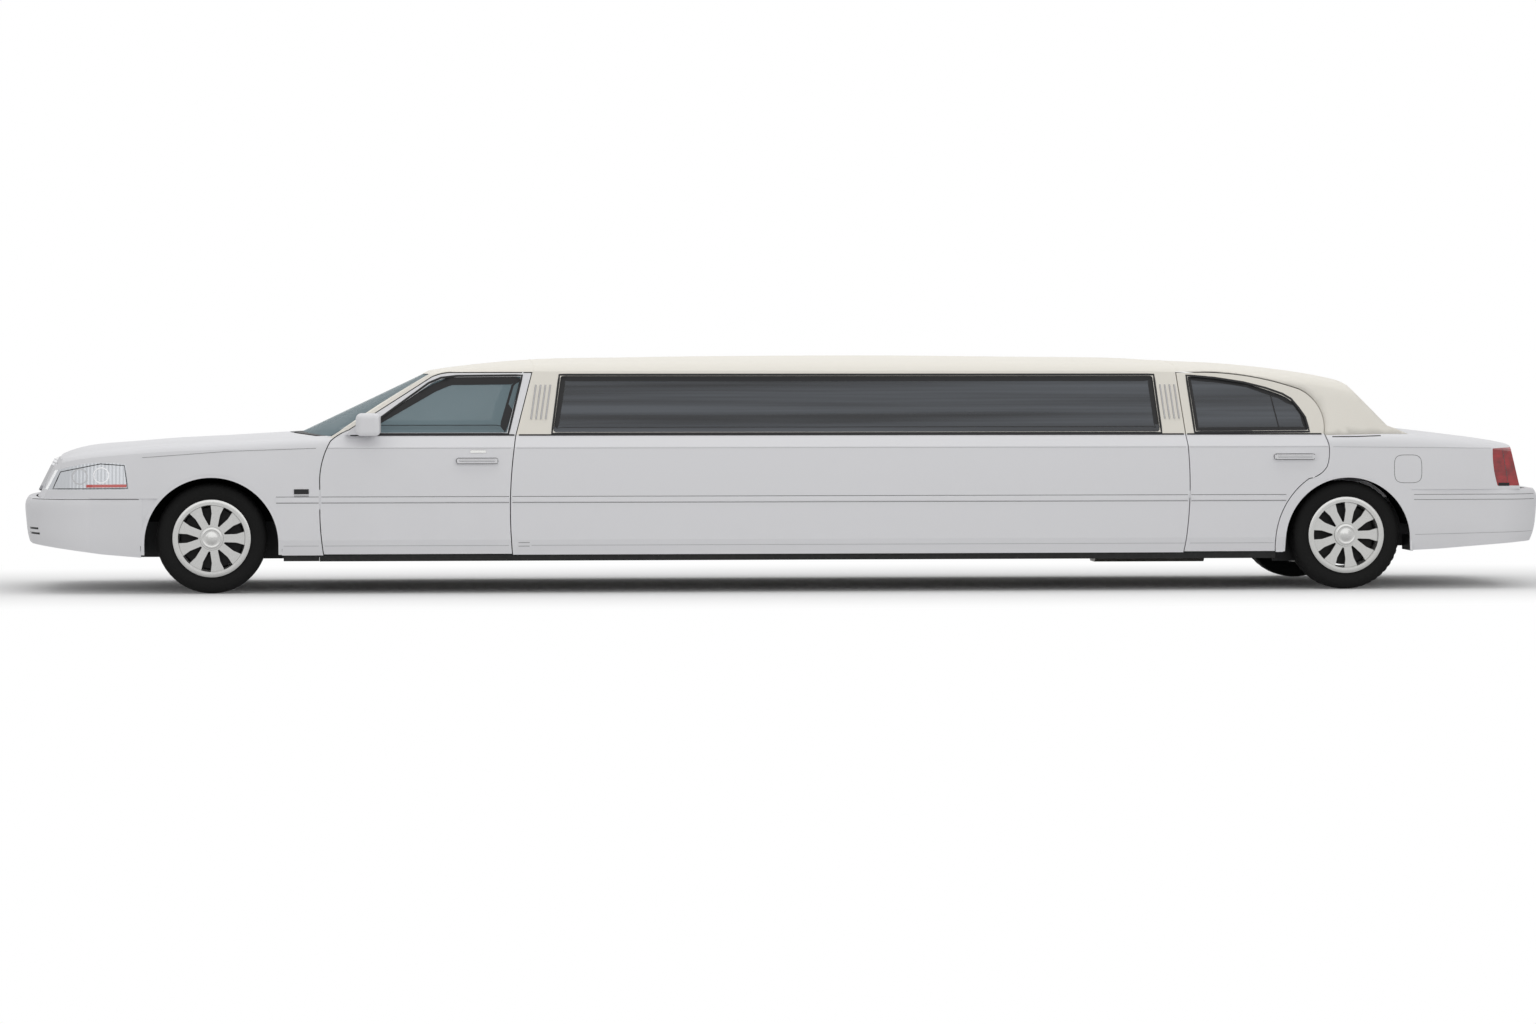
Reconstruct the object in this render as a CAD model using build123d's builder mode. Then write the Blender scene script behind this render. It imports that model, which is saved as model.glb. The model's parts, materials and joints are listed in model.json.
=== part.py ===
"""Stretch limousine, in millimetres: +X to the rear, +Y to the car's right, +Z up, ground at z = 0.

The skin comes from four master solids (side wall, front clip, rear clip, greenhouse).
Each panel is cut out of its master along the real shut lines.
"""
import math
import os

from build123d import *

os.makedirs("parts", exist_ok=True)

# Driving dimensions
FRONT_OVERHANG = 1180.0
WHEELBASE = 7060.0
REAR_OVERHANG = 1300.0
HALF_WIDTH = 996.0      # widest point of the body side
SILL_Z = 236.0          # lower edge of the painted side
ROCKER_Z = 198.0        # underside of the black rocker
BELT_Z = 965.0          # foot of the side windows
DRIP_Z = 1360.0         # top of the doors
ROOF_Z = 1462.0         # highest point of the roof
TYRE_R = 340.0          # 225/55 R17
TYRE_W = 225.0
FRONT_TRACK = 1610.0
REAR_TRACK = 1640.0
PANEL_GAP = 6.0         # shut line round doors and lids
SEAT_GAP = 0.3          # glass in its seal, pin in its eye
DOOR_INNER = 870.0      # inner face of the doors and side walls
PILLAR_T = 52.0         # side wall above the belt, measured across the car
SKIN = 24.0             # fender and quarter panel
LID_T = 28.0            # hood and trunk lid
GLASS_T = 6.0
ARCH_FRONT_R = 430.0
ARCH_REAR_R = 406.0
ARCH_Z = 306.0          # centre height of both wheel arches

LENGTH = FRONT_OVERHANG + WHEELBASE + REAR_OVERHANG
NOSE_X = -LENGTH / 2
TAIL_X = LENGTH / 2
FA = NOSE_X + FRONT_OVERHANG    # front axle
RA = FA + WHEELBASE             # rear axle
AXLE_Z = TYRE_R

# Body side outline: sill, lower crease, widest point, upper crease, belt
SILL_Y = HALF_WIDTH - 41
LOW_CREASE = (HALF_WIDTH - 11, 329)
WIDEST = (HALF_WIDTH, 570)
HIGH_CREASE = (HALF_WIDTH - 20, 900)
BELT_Y = HALF_WIDTH - 71
DRIP_Y = HALF_WIDTH - 254
LEAN = (BELT_Y - DRIP_Y) / (DRIP_Z - BELT_Z)    # inward lean of the side windows


def side_y(z):
    """Outer face of the side windows at height z."""
    return BELT_Y - LEAN * (z - BELT_Z)


# Wall section shared by the doors and the stretched middle
with BuildSketch(Plane.YZ.offset(FA + 500)) as wall_section:
    with BuildLine():
        Line((-DOOR_INNER, SILL_Z), (-SILL_Y, SILL_Z))
        Line((-SILL_Y, SILL_Z), (-LOW_CREASE[0], LOW_CREASE[1]))
        ThreePointArc(
            (-LOW_CREASE[0], LOW_CREASE[1]),
            (-WIDEST[0], WIDEST[1]),
            (-HIGH_CREASE[0], HIGH_CREASE[1]),
        )
        ThreePointArc(
            (-HIGH_CREASE[0], HIGH_CREASE[1]),
            (-BELT_Y - 16, BELT_Z - 20),
            (-BELT_Y, BELT_Z),
        )
        Line((-BELT_Y, BELT_Z), (-DRIP_Y, DRIP_Z))
        Line((-DRIP_Y, DRIP_Z), (-DRIP_Y + PILLAR_T, DRIP_Z))
        Line((-DRIP_Y + PILLAR_T, DRIP_Z), (-DOOR_INNER, BELT_Z + 8))
        Line((-DOOR_INNER, BELT_Z + 8), (-DOOR_INNER, SILL_Z))
    make_face()

with BuildPart() as wall:
    extrude(wall_section.sketch, amount=WHEELBASE - 560)


def clip_section(x, half, high_y, high_z, edge_y, edge_z, crown, low):
    """Closed cross-section of the front or rear clip at station x."""
    drop = HALF_WIDTH - half
    with BuildSketch(Plane.YZ.offset(x)) as station:
        with BuildLine():
            for s in (-1, 1):
                Line((s * (SILL_Y - drop), low), (s * (LOW_CREASE[0] - drop), low + 93))
                ThreePointArc(
                    (s * (LOW_CREASE[0] - drop), low + 93),
                    (s * half, 570),
                    (s * high_y, high_z),
                )
                mid_y = 0.45 * high_y + 0.55 * edge_y + 9
                mid_z = 0.45 * high_z + 0.55 * edge_z + 9
                ThreePointArc((s * high_y, high_z), (s * mid_y, mid_z), (s * edge_y, edge_z))
            ThreePointArc((-edge_y, edge_z), (0, crown), (edge_y, edge_z))
            Line((-(SILL_Y - drop), low), (SILL_Y - drop, low))
        make_face()
    return station.sketch


# Front clip stations: offset from the front axle, then the section's points
FRONT_STATIONS = [
    # dx, half, high_y, high_z, edge_y, edge_z, crown
    (1400, HALF_WIDTH, 976, 900, 924, 964, 1000),
    (1100, HALF_WIDTH, 976, 900, 924, 964, 1000),
    (800, HALF_WIDTH, 976, 900, 922, 960, 996),
    (500, HALF_WIDTH, 976, 898, 916, 949, 982),
    (200, HALF_WIDTH, 974, 891, 905, 935, 965),
    (-100, 995, 971, 881, 896, 921, 949),
    (-400, 985, 959, 865, 881, 902, 929),
    (-650, 962, 933, 845, 850, 879, 911),
    (-850, 918, 884, 818, 798, 846, 881),
    (-1000, 842, 803, 777, 712, 797, 822),
    (-1120, 760, 715, 735, 620, 752, 775),
]
with BuildPart() as front_clip:
    loft([clip_section(FA + row[0], *row[1:], SILL_Z) for row in FRONT_STATIONS])
    with Locations((FA + 800 + 500, 0, 600)):
        Box(1000, 2200, 1200, mode=Mode.SUBTRACT)

# Rear clip stations: offset from the rear axle
REAR_STATIONS = [
    # dx, half, high_y, high_z, edge_y, edge_z, crown
    (-1160, HALF_WIDTH, 976, 900, 924, 964, 992),
    (-860, HALF_WIDTH, 976, 900, 924, 964, 992),
    (-560, HALF_WIDTH, 976, 900, 924, 964, 992),
    (-260, HALF_WIDTH, 976, 900, 924, 964, 992),
    (40, HALF_WIDTH, 976, 900, 922, 966, 999),
    (350, 994, 973, 898, 908, 968, 1004),
    (650, 987, 964, 890, 888, 949, 977),
    (900, 973, 947, 876, 859, 923, 946),
    (1090, 944, 915, 854, 818, 888, 918),
    (1230, 900, 866, 828, 768, 856, 886),
]
with BuildPart() as rear_clip:
    loft([clip_section(RA + row[0], *row[1:], SILL_Z) for row in REAR_STATIONS])
    with Locations((RA - 560 - 500, 0, 600)):
        Box(1000, 2200, 1200, mode=Mode.SUBTRACT)


def roof_section(x, top, edge_z, drip_z, tuck, inset):
    """Closed cross-section of the greenhouse; tuck narrows it, inset gives the lining."""
    foot_z = BELT_Z - 45
    with BuildSketch(Plane.YZ.offset(x)) as station:
        with BuildLine():
            for s in (-1, 1):
                foot = (s * (side_y(foot_z) - tuck - inset), foot_z)
                drip = (s * (side_y(drip_z) - tuck - inset), drip_z)
                edge = (s * (side_y(edge_z) - tuck - inset - 52), edge_z)
                bend = (s * (side_y(edge_z) - tuck - inset - 12), edge_z - 0.38 * (edge_z - drip_z))
                Line(foot, drip)
                ThreePointArc(drip, bend, edge)
            ThreePointArc((-edge[0], edge_z), (0, top), (edge[0], edge_z))
            Line((-foot[0], foot_z), (foot[0], foot_z))
        make_face()
    return station.sketch


# Greenhouse stations: heights below the roof's top at the middle, roof edge and drip
STRETCH = WHEELBASE - 2996
ROOF_STATIONS = [
    # x, top, edge, drip, tuck
    (FA + 690, 247, 255, 267, 0),
    (FA + 1090, 152, 161, 174, 0),
    (FA + 1330, 98, 108, 122, 0),
    (FA + 1560, 64, 82, 102, 0),
    (FA + 1890, 32, 62, 98, 0),
    (FA + 2340, 15, 53, 96, 0),
    (FA + 2340 + 0.14 * STRETCH, 7, 49, 95, 0),
    (FA + 2340 + 0.28 * STRETCH, 2, 46, 94, 0),
    (FA + 2340 + 0.42 * STRETCH, 0, 45, 94, 0),
    (FA + 2340 + 0.56 * STRETCH, 3, 46, 94, 0),
    (FA + 2340 + 0.70 * STRETCH, 9, 50, 95, 0),
    (FA + 2340 + 0.84 * STRETCH, 17, 56, 97, 0),
    (RA - 1120, 28, 65, 102, 0),
    (RA - 760, 44, 82, 118, 0),
    (RA - 420, 72, 112, 152, 0),
    (RA - 120, 112, 154, 200, 4),
    (RA + 150, 175, 218, 266, 22),
    (RA + 420, 270, 314, 362, 66),
]
with BuildPart() as house:
    loft([
        roof_section(x, ROOF_Z - top, ROOF_Z - edge, ROOF_Z - drip, tuck, 0)
        for x, top, edge, drip, tuck in ROOF_STATIONS
    ])
with BuildPart() as house_inner:
    loft([
        roof_section(x, ROOF_Z - top - 44, ROOF_Z - edge - 44, ROOF_Z - drip - 44, tuck, PILLAR_T)
        for x, top, edge, drip, tuck in ROOF_STATIONS
    ])


def arch(x, radius):
    """Wheel-arch cutter through the whole width, open at the bottom."""
    with BuildPart() as cutter:
        with BuildSketch(Plane.XZ.offset(-1100)):
            with Locations((x, ARCH_Z)):
                Circle(radius)
            with Locations((x, ARCH_Z / 2 - 50)):
                Rectangle(2 * radius, ARCH_Z + 100)
        extrude(amount=2200)
    return cutter.part


front_arch = arch(FA, ARCH_FRONT_R)
rear_arch = arch(RA, ARCH_REAR_R)

# Shut lines of the left side, drawn in the XZ plane
with BuildSketch(Plane.XZ) as front_door_line:
    with BuildLine():
        ThreePointArc((FA + 682, SILL_Z), (FA + 663, 400), (FA + 659, 500))
        Line((FA + 659, 500), (FA + 659, 660))
        ThreePointArc((FA + 659, 660), (FA + 676, 820), (FA + 726, 940))
        ThreePointArc((FA + 726, 940), (FA + 768, 972), (FA + 840, 1008))
        Line((FA + 840, 1008), (FA + 1352, DRIP_Z - 27))
        ThreePointArc((FA + 1352, DRIP_Z - 27), (FA + 1414, DRIP_Z - 7), (FA + 1487, DRIP_Z))
        Line((FA + 1487, DRIP_Z), (FA + 1977, DRIP_Z))
        Line((FA + 1977, DRIP_Z), (FA + 1868, BELT_Z))
        ThreePointArc((FA + 1868, BELT_Z), (FA + 1833, 570), (FA + 1847, SILL_Z))
        Line((FA + 1847, SILL_Z), (FA + 682, SILL_Z))
    make_face()

with BuildSketch(Plane.XZ) as stretch_line:
    with BuildLine():
        Line((FA + 1977, DRIP_Z), (FA + 1868, BELT_Z))
        ThreePointArc((FA + 1868, BELT_Z), (FA + 1833, 570), (FA + 1847, SILL_Z))
        Line((FA + 1847, SILL_Z), (RA - 1037, SILL_Z))
        ThreePointArc((RA - 1037, SILL_Z), (RA - 1005, 600), (RA - 1020, BELT_Z))
        Line((RA - 1020, BELT_Z), (RA - 1055, DRIP_Z))
        Line((RA - 1055, DRIP_Z), (FA + 1977, DRIP_Z))
    make_face()

with BuildSketch(Plane.XZ) as rear_door_line:
    with BuildLine():
        ThreePointArc((RA - 1037, SILL_Z), (RA - 1005, 600), (RA - 1020, BELT_Z))
        Line((RA - 1020, BELT_Z), (RA - 1055, DRIP_Z))
        Line((RA - 1055, DRIP_Z), (RA - 910, DRIP_Z))
        ThreePointArc((RA - 910, DRIP_Z), (RA - 560, DRIP_Z - 30), (RA - 280, DRIP_Z - 104))
        ThreePointArc((RA - 280, DRIP_Z - 104), (RA - 180, DRIP_Z - 184), (RA - 139, 978))
        ThreePointArc((RA - 139, 978), (RA - 116, 870), (RA - 132, 770))
        ThreePointArc((RA - 132, 770), (RA - 168, 728), (RA - 249, 692))
        ThreePointArc((RA - 249, 692), (RA - 395, 530), (RA - 452, SILL_Z))
        Line((RA - 452, SILL_Z), (RA - 1037, SILL_Z))
    make_face()

# Window outlines of the left side
with BuildSketch(Plane.XZ) as front_window_line:
    with BuildLine():
        Line((FA + 905, BELT_Z + 22), (FA + 1812, BELT_Z + 22))
        Line((FA + 1812, BELT_Z + 22), (FA + 1904, DRIP_Z - 28))
        Line((FA + 1904, DRIP_Z - 28), (FA + 1500, DRIP_Z - 32))
        ThreePointArc((FA + 1500, DRIP_Z - 32), (FA + 1418, DRIP_Z - 43), (FA + 1342, DRIP_Z - 75))
        Line((FA + 1342, DRIP_Z - 75), (FA + 905, BELT_Z + 22))
    make_face()

with BuildSketch(Plane.XZ) as stretch_window_line:
    with BuildLine():
        FilletPolyline(
            (FA + 2097, BELT_Z + 24),
            (RA - 1177, BELT_Z + 24),
            (RA - 1201, DRIP_Z - 25),
            (FA + 2151, DRIP_Z - 25),
            radius=16,
            close=True,
        )
    make_face()

with BuildSketch(Plane.XZ) as rear_window_line:
    with BuildLine():
        Line((RA - 951, BELT_Z + 26), (RA - 979, DRIP_Z - 30))
        ThreePointArc((RA - 979, DRIP_Z - 30), (RA - 620, DRIP_Z - 74), (RA - 395, DRIP_Z - 145))
        ThreePointArc((RA - 395, DRIP_Z - 145), (RA - 300, DRIP_Z - 215), (RA - 243, BELT_Z + 30))
        Line((RA - 243, BELT_Z + 30), (RA - 951, BELT_Z + 26))
    make_face()


def prism(outline, grow=0.0):
    """Outline of the left side carried across the left half of the car."""
    with BuildPart() as block:
        with BuildSketch(Plane.XZ):
            add(outline.sketch)
            if grow:
                offset(amount=grow, kind=Kind.ARC, mode=Mode.REPLACE)
        extrude(amount=1100)
    return block.part


def window_pane(outline):
    """Pane of the left side, set into its opening."""
    with BuildPart() as pane:
        with BuildSketch(Plane.YZ.offset(FA + 600)):
            with BuildLine():
                Polyline(
                    (-side_y(BELT_Z) + 14, BELT_Z),
                    (-side_y(DRIP_Z) + 14, DRIP_Z),
                    (-side_y(DRIP_Z) + 14 + GLASS_T, DRIP_Z),
                    (-side_y(BELT_Z) + 14 + GLASS_T, BELT_Z),
                    close=True,
                )
            make_face()
        extrude(amount=WHEELBASE - 600)
        add(prism(outline, -SEAT_GAP), mode=Mode.INTERSECT)
    return pane.part


HINGE_Y = HALF_WIDTH - 3


def door(outline, window, rebate, handle_x, handle_z):
    """Left door: skin, rebated rear edge, window opening and pull handle."""
    with BuildPart() as panel:
        add(wall.part)
        add(prism(outline, -PANEL_GAP), mode=Mode.INTERSECT)
        with BuildPart(mode=Mode.SUBTRACT):
            with BuildSketch(Plane.XZ):
                with BuildLine():
                    Polyline(*rebate, close=True)
                make_face()
            extrude(amount=1100)
            add(Pos(0, 22, 0) * wall.part, mode=Mode.INTERSECT)
        add(prism(window), mode=Mode.SUBTRACT)
        with Locations((handle_x, -HALF_WIDTH + 2, handle_z)):
            Box(250, 44, 30)
    return panel.part


FRONT_REBATE = [
    (FA + 1927, DRIP_Z + 10),
    (FA + 1816, BELT_Z),
    (FA + 1783, 570),
    (FA + 1795, SILL_Z - 10),
    (FA + 2100, SILL_Z - 10),
    (FA + 2100, DRIP_Z + 10),
]
REAR_REBATE = [
    (RA - 700, DRIP_Z + 10),
    (RA - 560, DRIP_Z - 82),
    (RA - 315, DRIP_Z - 160),
    (RA - 225, DRIP_Z - 240),
    (RA - 192, 975),
    (RA - 180, 770),
    (RA - 290, 720),
    (RA - 450, 530),
    (RA - 508, SILL_Z - 10),
    (RA, SILL_Z - 10),
    (RA, DRIP_Z + 10),
]

with BuildPart() as door_front_left:
    add(door(front_door_line, front_window_line, FRONT_REBATE, FA + 1626, 815))
door_front_left.part.label = "door_front_left"
export_step(door_front_left.part, "parts/door_front_left.step")

with BuildPart() as door_front_right:
    mirror(door_front_left.part, about=Plane.XZ)
door_front_right.part.label = "door_front_right"
export_step(door_front_right.part, "parts/door_front_right.step")

with BuildPart() as door_rear_left:
    add(door(rear_door_line, rear_window_line, REAR_REBATE, RA - 343, 832))
door_rear_left.part.label = "door_rear_left"
export_step(door_rear_left.part, "parts/door_rear_left.step")

with BuildPart() as door_rear_right:
    mirror(door_rear_left.part, about=Plane.XZ)
door_rear_right.part.label = "door_rear_right"
export_step(door_rear_right.part, "parts/door_rear_right.step")

with BuildPart() as glass_front_left:
    add(window_pane(front_window_line))
glass_front_left.part.label = "glass_front_left"
export_step(glass_front_left.part, "parts/glass_front_left.step")

with BuildPart() as glass_front_right:
    mirror(glass_front_left.part, about=Plane.XZ)
glass_front_right.part.label = "glass_front_right"
export_step(glass_front_right.part, "parts/glass_front_right.step")

with BuildPart() as glass_rear_left:
    add(window_pane(rear_window_line))
glass_rear_left.part.label = "glass_rear_left"
export_step(glass_rear_left.part, "parts/glass_rear_left.step")

with BuildPart() as glass_rear_right:
    mirror(glass_rear_left.part, about=Plane.XZ)
glass_rear_right.part.label = "glass_rear_right"
export_step(glass_rear_right.part, "parts/glass_rear_right.step")

# Stretched middle: one wall a side, with the long window and the hinge pins of the rear doors
with BuildPart() as stretch_sides:
    add(wall.part)
    add(prism(stretch_line), mode=Mode.INTERSECT)
    add(prism(stretch_window_line), mode=Mode.SUBTRACT)
    with Locations((RA - 1005 + 2.6, -HINGE_Y, 600)):
        Cylinder(2.8, 44)
    mirror(about=Plane.XZ)
stretch_sides.part.label = "stretch_sides"
export_step(stretch_sides.part, "parts/stretch_sides.step")

with BuildPart() as stretch_glass:
    add(window_pane(stretch_window_line))
    mirror(about=Plane.XZ)
stretch_glass.part.label = "stretch_glass"
export_step(stretch_glass.part, "parts/stretch_glass.step")

# Raked, bowed faces: windshield, rear window, nose and tail
def bowed(low, high, y_side, reach, thick):
    """Solid behind a bowed face; low and high are (z, x at the middle, x at the side)."""
    levels = []
    for z, x_mid, x_side in (low, high):
        with BuildSketch(Plane.XY.offset(z)) as level:
            with BuildLine():
                ThreePointArc((x_side, -y_side), (x_mid, 0), (x_side, y_side))
                if thick:
                    Line((x_side, y_side), (x_side + thick, y_side))
                    ThreePointArc((x_side + thick, y_side), (x_mid + thick, 0), (x_side + thick, -y_side))
                    Line((x_side + thick, -y_side), (x_side, -y_side))
                else:
                    Polyline((x_side, y_side), (reach, y_side), (reach, -y_side), (x_side, -y_side))
            make_face()
        levels.append(level.sketch)
    with BuildPart() as body:
        loft(levels, ruled=True)
    return body.part


def shifted(levels, dx):
    """Both levels of a bowed face, moved along X."""
    return [(z, x_mid + dx, x_side + dx) for z, x_mid, x_side in levels]


SCREEN = [(914, FA + 396, FA + 650), (1420, FA + 1463, FA + 1471)]      # windshield
BACK = [(914, RA + 448, RA + 378), (1420, RA - 52, RA - 122)]           # rear window
NOSE = [(500, FA - 1146, FA - 1038), (900, FA - 944, FA - 836)]
TAIL = [(540, RA + 1222, RA + 1110), (1020, RA + 1106, RA + 994)]


def nose_cut(dx):
    """Everything ahead of the nose, moved along X."""
    return bowed(*shifted(NOSE, dx), 1000, FA - 1900, 0)


def tail_cut(dx):
    """Everything behind the tail, moved along X."""
    return bowed(*shifted(TAIL, dx), 1000, RA + 2000, 0)


def pane_block(x, amount, foot, top, grow):
    """Opening of the windshield or rear window, carried along X; foot and top are (half width, z)."""
    with BuildPart() as block:
        with BuildSketch(Plane.YZ.offset(x)):
            with BuildLine():
                FilletPolyline(
                    (-foot[0], foot[1]),
                    (foot[0], foot[1]),
                    (top[0], top[1]),
                    (-top[0], top[1]),
                    radius=40,
                    close=True,
                )
            make_face()
            if grow:
                offset(amount=grow, kind=Kind.ARC, mode=Mode.REPLACE)
        extrude(amount=amount)
    return block.part


SCREEN_PANE = (FA, 1500, (856, BELT_Z - 2), (684, DRIP_Z - 12))
BACK_PANE = (RA - 300, 900, (720, BELT_Z + 62), (610, DRIP_Z - 78))

# Roof with the A and C pillars
with BuildPart() as roof_shell:
    add(house.part)
    add(house_inner.part, mode=Mode.SUBTRACT)
    add(bowed(*SCREEN, 860, FA - 900, 0), mode=Mode.SUBTRACT)
    add(bowed(*BACK, 860, RA + 1500, 0), mode=Mode.SUBTRACT)
    add(front_clip.part, mode=Mode.SUBTRACT)
    add(rear_clip.part, mode=Mode.SUBTRACT)
    for cutter in (front_door_line, stretch_line, rear_door_line):
        side = prism(cutter)
        add(side, mode=Mode.SUBTRACT)
        add(mirror(side, about=Plane.XZ, mode=Mode.PRIVATE), mode=Mode.SUBTRACT)
    add(pane_block(*SCREEN_PANE, 0), mode=Mode.SUBTRACT)
    add(pane_block(*BACK_PANE, 0), mode=Mode.SUBTRACT)
    with Locations((0, 0, 600)):
        Box(2 * LENGTH, 2400, 2 * (BELT_Z - 20 - 600), mode=Mode.SUBTRACT)

with BuildPart() as roof:
    add(roof_shell.part.solids().sort_by(SortBy.VOLUME)[-1])
roof.part.label = "roof"
export_step(roof.part, "parts/roof.step")

with BuildPart() as windshield:
    add(bowed(*shifted(SCREEN, 8), 850, 0, 14))
    add(pane_block(*SCREEN_PANE, -SEAT_GAP), mode=Mode.INTERSECT)
    add(front_clip.part, mode=Mode.SUBTRACT)
windshield.part.label = "windshield"
export_step(windshield.part, "parts/windshield.step")

with BuildPart() as rear_window:
    add(bowed(*shifted(BACK, -16), 850, 0, 9))
    add(pane_block(*BACK_PANE, -SEAT_GAP), mode=Mode.INTERSECT)
rear_window.part.label = "rear_window"
export_step(rear_window.part, "parts/rear_window.step")

# Hood outline in plan, with the bowed rear edge
HOOD_REAR_X = FA + 650
HOOD_BOW = 172.0
HOOD_SWING_GAP = 22.0    # extra room for the rear edge as the hood opens
GRILLE_HALF = 430.0
HOOD_AXIS = (HOOD_REAR_X - 36, 949)
PIVOT_R = 5.0


def hood_prism(grow, tail):
    """Plan outline of the hood; tail carries it back to the windshield."""
    with BuildPart() as block:
        with BuildSketch(Plane.XY.offset(500)):
            with BuildLine():
                if tail:
                    Line((HOOD_REAR_X + tail, 775), (HOOD_REAR_X + tail, -775))
                    Line((HOOD_REAR_X + tail, -775), (HOOD_REAR_X, -775))
                    Line((HOOD_REAR_X, 775), (HOOD_REAR_X + tail, 775))
                else:
                    ThreePointArc((HOOD_REAR_X, 775), (HOOD_REAR_X - HOOD_BOW, 0), (HOOD_REAR_X, -775))
                Line((HOOD_REAR_X, -775), (FA - 1200, -640))
                Line((FA - 1200, -640), (FA - 1200, 640))
                Line((FA - 1200, 640), (HOOD_REAR_X, 775))
            make_face()
            if grow:
                offset(amount=grow, kind=Kind.ARC, mode=Mode.REPLACE)
        extrude(amount=600)
    return block.part


with BuildPart() as hood:
    add(front_clip.part)
    add(hood_prism(-PANEL_GAP, 0), mode=Mode.INTERSECT)
    add(Pos(0, 0, -LID_T) * front_clip.part, mode=Mode.SUBTRACT)
    add(nose_cut(PANEL_GAP), mode=Mode.SUBTRACT)
    with Locations((FA - 1240, 0, 800)):
        Box(600, 2 * GRILLE_HALF + 12, 400, mode=Mode.SUBTRACT)
    for side in (-1, 1):
        with Locations(Pos(HOOD_AXIS[0], side * 790, HOOD_AXIS[1]) * Rot(90, 0, 0)):
            Cylinder(PIVOT_R + SEAT_GAP, 100, mode=Mode.SUBTRACT)
hood.part.label = "hood"
export_step(hood.part, "parts/hood.step")

# Layer kept free for the hood, a gap thicker than the hood itself
with BuildPart() as hood_space:
    add(front_clip.part)
    add(hood_prism(0, 0), mode=Mode.INTERSECT)
    add(Pos(0, 0, -LID_T - PANEL_GAP) * front_clip.part, mode=Mode.SUBTRACT)

# Headlamp units wrap from the grille to the side
BUMPER_TOP = 588.0
with BuildPart() as lamp_block:
    with BuildSketch(Plane.XZ.offset(448)):
        with BuildLine():
            Line((FA - 1200, 640), (FA - 502, 644))
            Line((FA - 502, 644), (FA - 521, 796))
            ThreePointArc((FA - 521, 796), (FA - 674, 806), (FA - 800, 795))
            Line((FA - 800, 795), (FA - 1200, 700))
            Line((FA - 1200, 700), (FA - 1200, 640))
        make_face()
    extrude(amount=600)
    add(front_clip.part, mode=Mode.INTERSECT)
    add(nose_cut(0), mode=Mode.SUBTRACT)
    add(Pos(95, 46, 0) * front_clip.part, mode=Mode.SUBTRACT)

with BuildPart() as headlamps:
    add(lamp_block.part.solids().sort_by(SortBy.VOLUME)[-1])
    mirror(about=Plane.XZ)
headlamps.part.label = "headlamps"
export_step(headlamps.part, "parts/headlamps.step")

# Bumpers: lofted plan outlines, front and rear alike
def bumper_outline(z, tip, end, half_end, corner_x, corner_y, flat_y, bow, back, slim, inset):
    """Plan outline at height z; back and slim draw it in, inset gives the inside."""
    s = 1 if end > tip else -1
    tip = tip + s * (back + inset)
    corner = (corner_x + s * inset * 0.4, corner_y - slim - inset)
    shoulder = (tip + s * bow, flat_y - inset)
    mid = (
        corner_x + s * inset + 0.72 * (tip - s * inset - corner_x) + s * 6,
        corner_y - slim - inset - 0.33 * (corner_y - flat_y),
    )
    wide = half_end - slim - inset
    with BuildSketch(Plane.XY.offset(z)) as level:
        with BuildLine():
            for k in (-1, 1):
                Line((end, k * wide), (corner[0], k * corner[1]))
                ThreePointArc(
                    (corner[0], k * corner[1]),
                    (mid[0], k * mid[1]),
                    (shoulder[0], k * shoulder[1]),
                )
            ThreePointArc((shoulder[0], -shoulder[1]), (tip, 0), (shoulder[0], shoulder[1]))
            Line((end, -wide), (end, wide))
        make_face()
    return level.sketch


BUMPER_T = 42.0
FRONT_BUMPER = (NOSE_X, FA - 420, 984, FA - 740, 951, 620, 45)
FRONT_LEVELS = [
    # z, back, slim
    (200, 62, 34),
    (300, 30, 14),
    (400, 9, 3),
    (500, 0, 0),
    (556, 4, 0),
    (BUMPER_TOP, 24, 6),
]
with BuildPart() as front_bumper:
    loft([bumper_outline(z, *FRONT_BUMPER, back, slim, 0) for z, back, slim in FRONT_LEVELS])
    with BuildPart(mode=Mode.SUBTRACT):
        loft([bumper_outline(z, *FRONT_BUMPER, back, slim, BUMPER_T) for z, back, slim in FRONT_LEVELS])
    add(front_arch, mode=Mode.SUBTRACT)
    with BuildSketch(Plane.XZ.offset(-1100)):
        with BuildLine():
            Polyline(
                (NOSE_X - 100, 150),
                (NOSE_X - 100, 318),
                (FA - 1090, 306),
                (FA - 673, 246),
                (FA - 300, 214),
                (FA - 300, 150),
                close=True,
            )
        make_face()
    extrude(amount=2200, mode=Mode.SUBTRACT)
front_bumper.part.label = "front_bumper"
export_step(front_bumper.part, "parts/front_bumper.step")

REAR_TOP = 626.0
REAR_BUMPER = (TAIL_X, RA + 400, 993, RA + 960, 966, 640, 42)
REAR_LEVELS = [
    # z, back, slim
    (230, 70, 34),
    (320, 34, 14),
    (420, 9, 3),
    (520, 0, 0),
    (592, 4, 0),
    (REAR_TOP, 26, 6),
]
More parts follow.
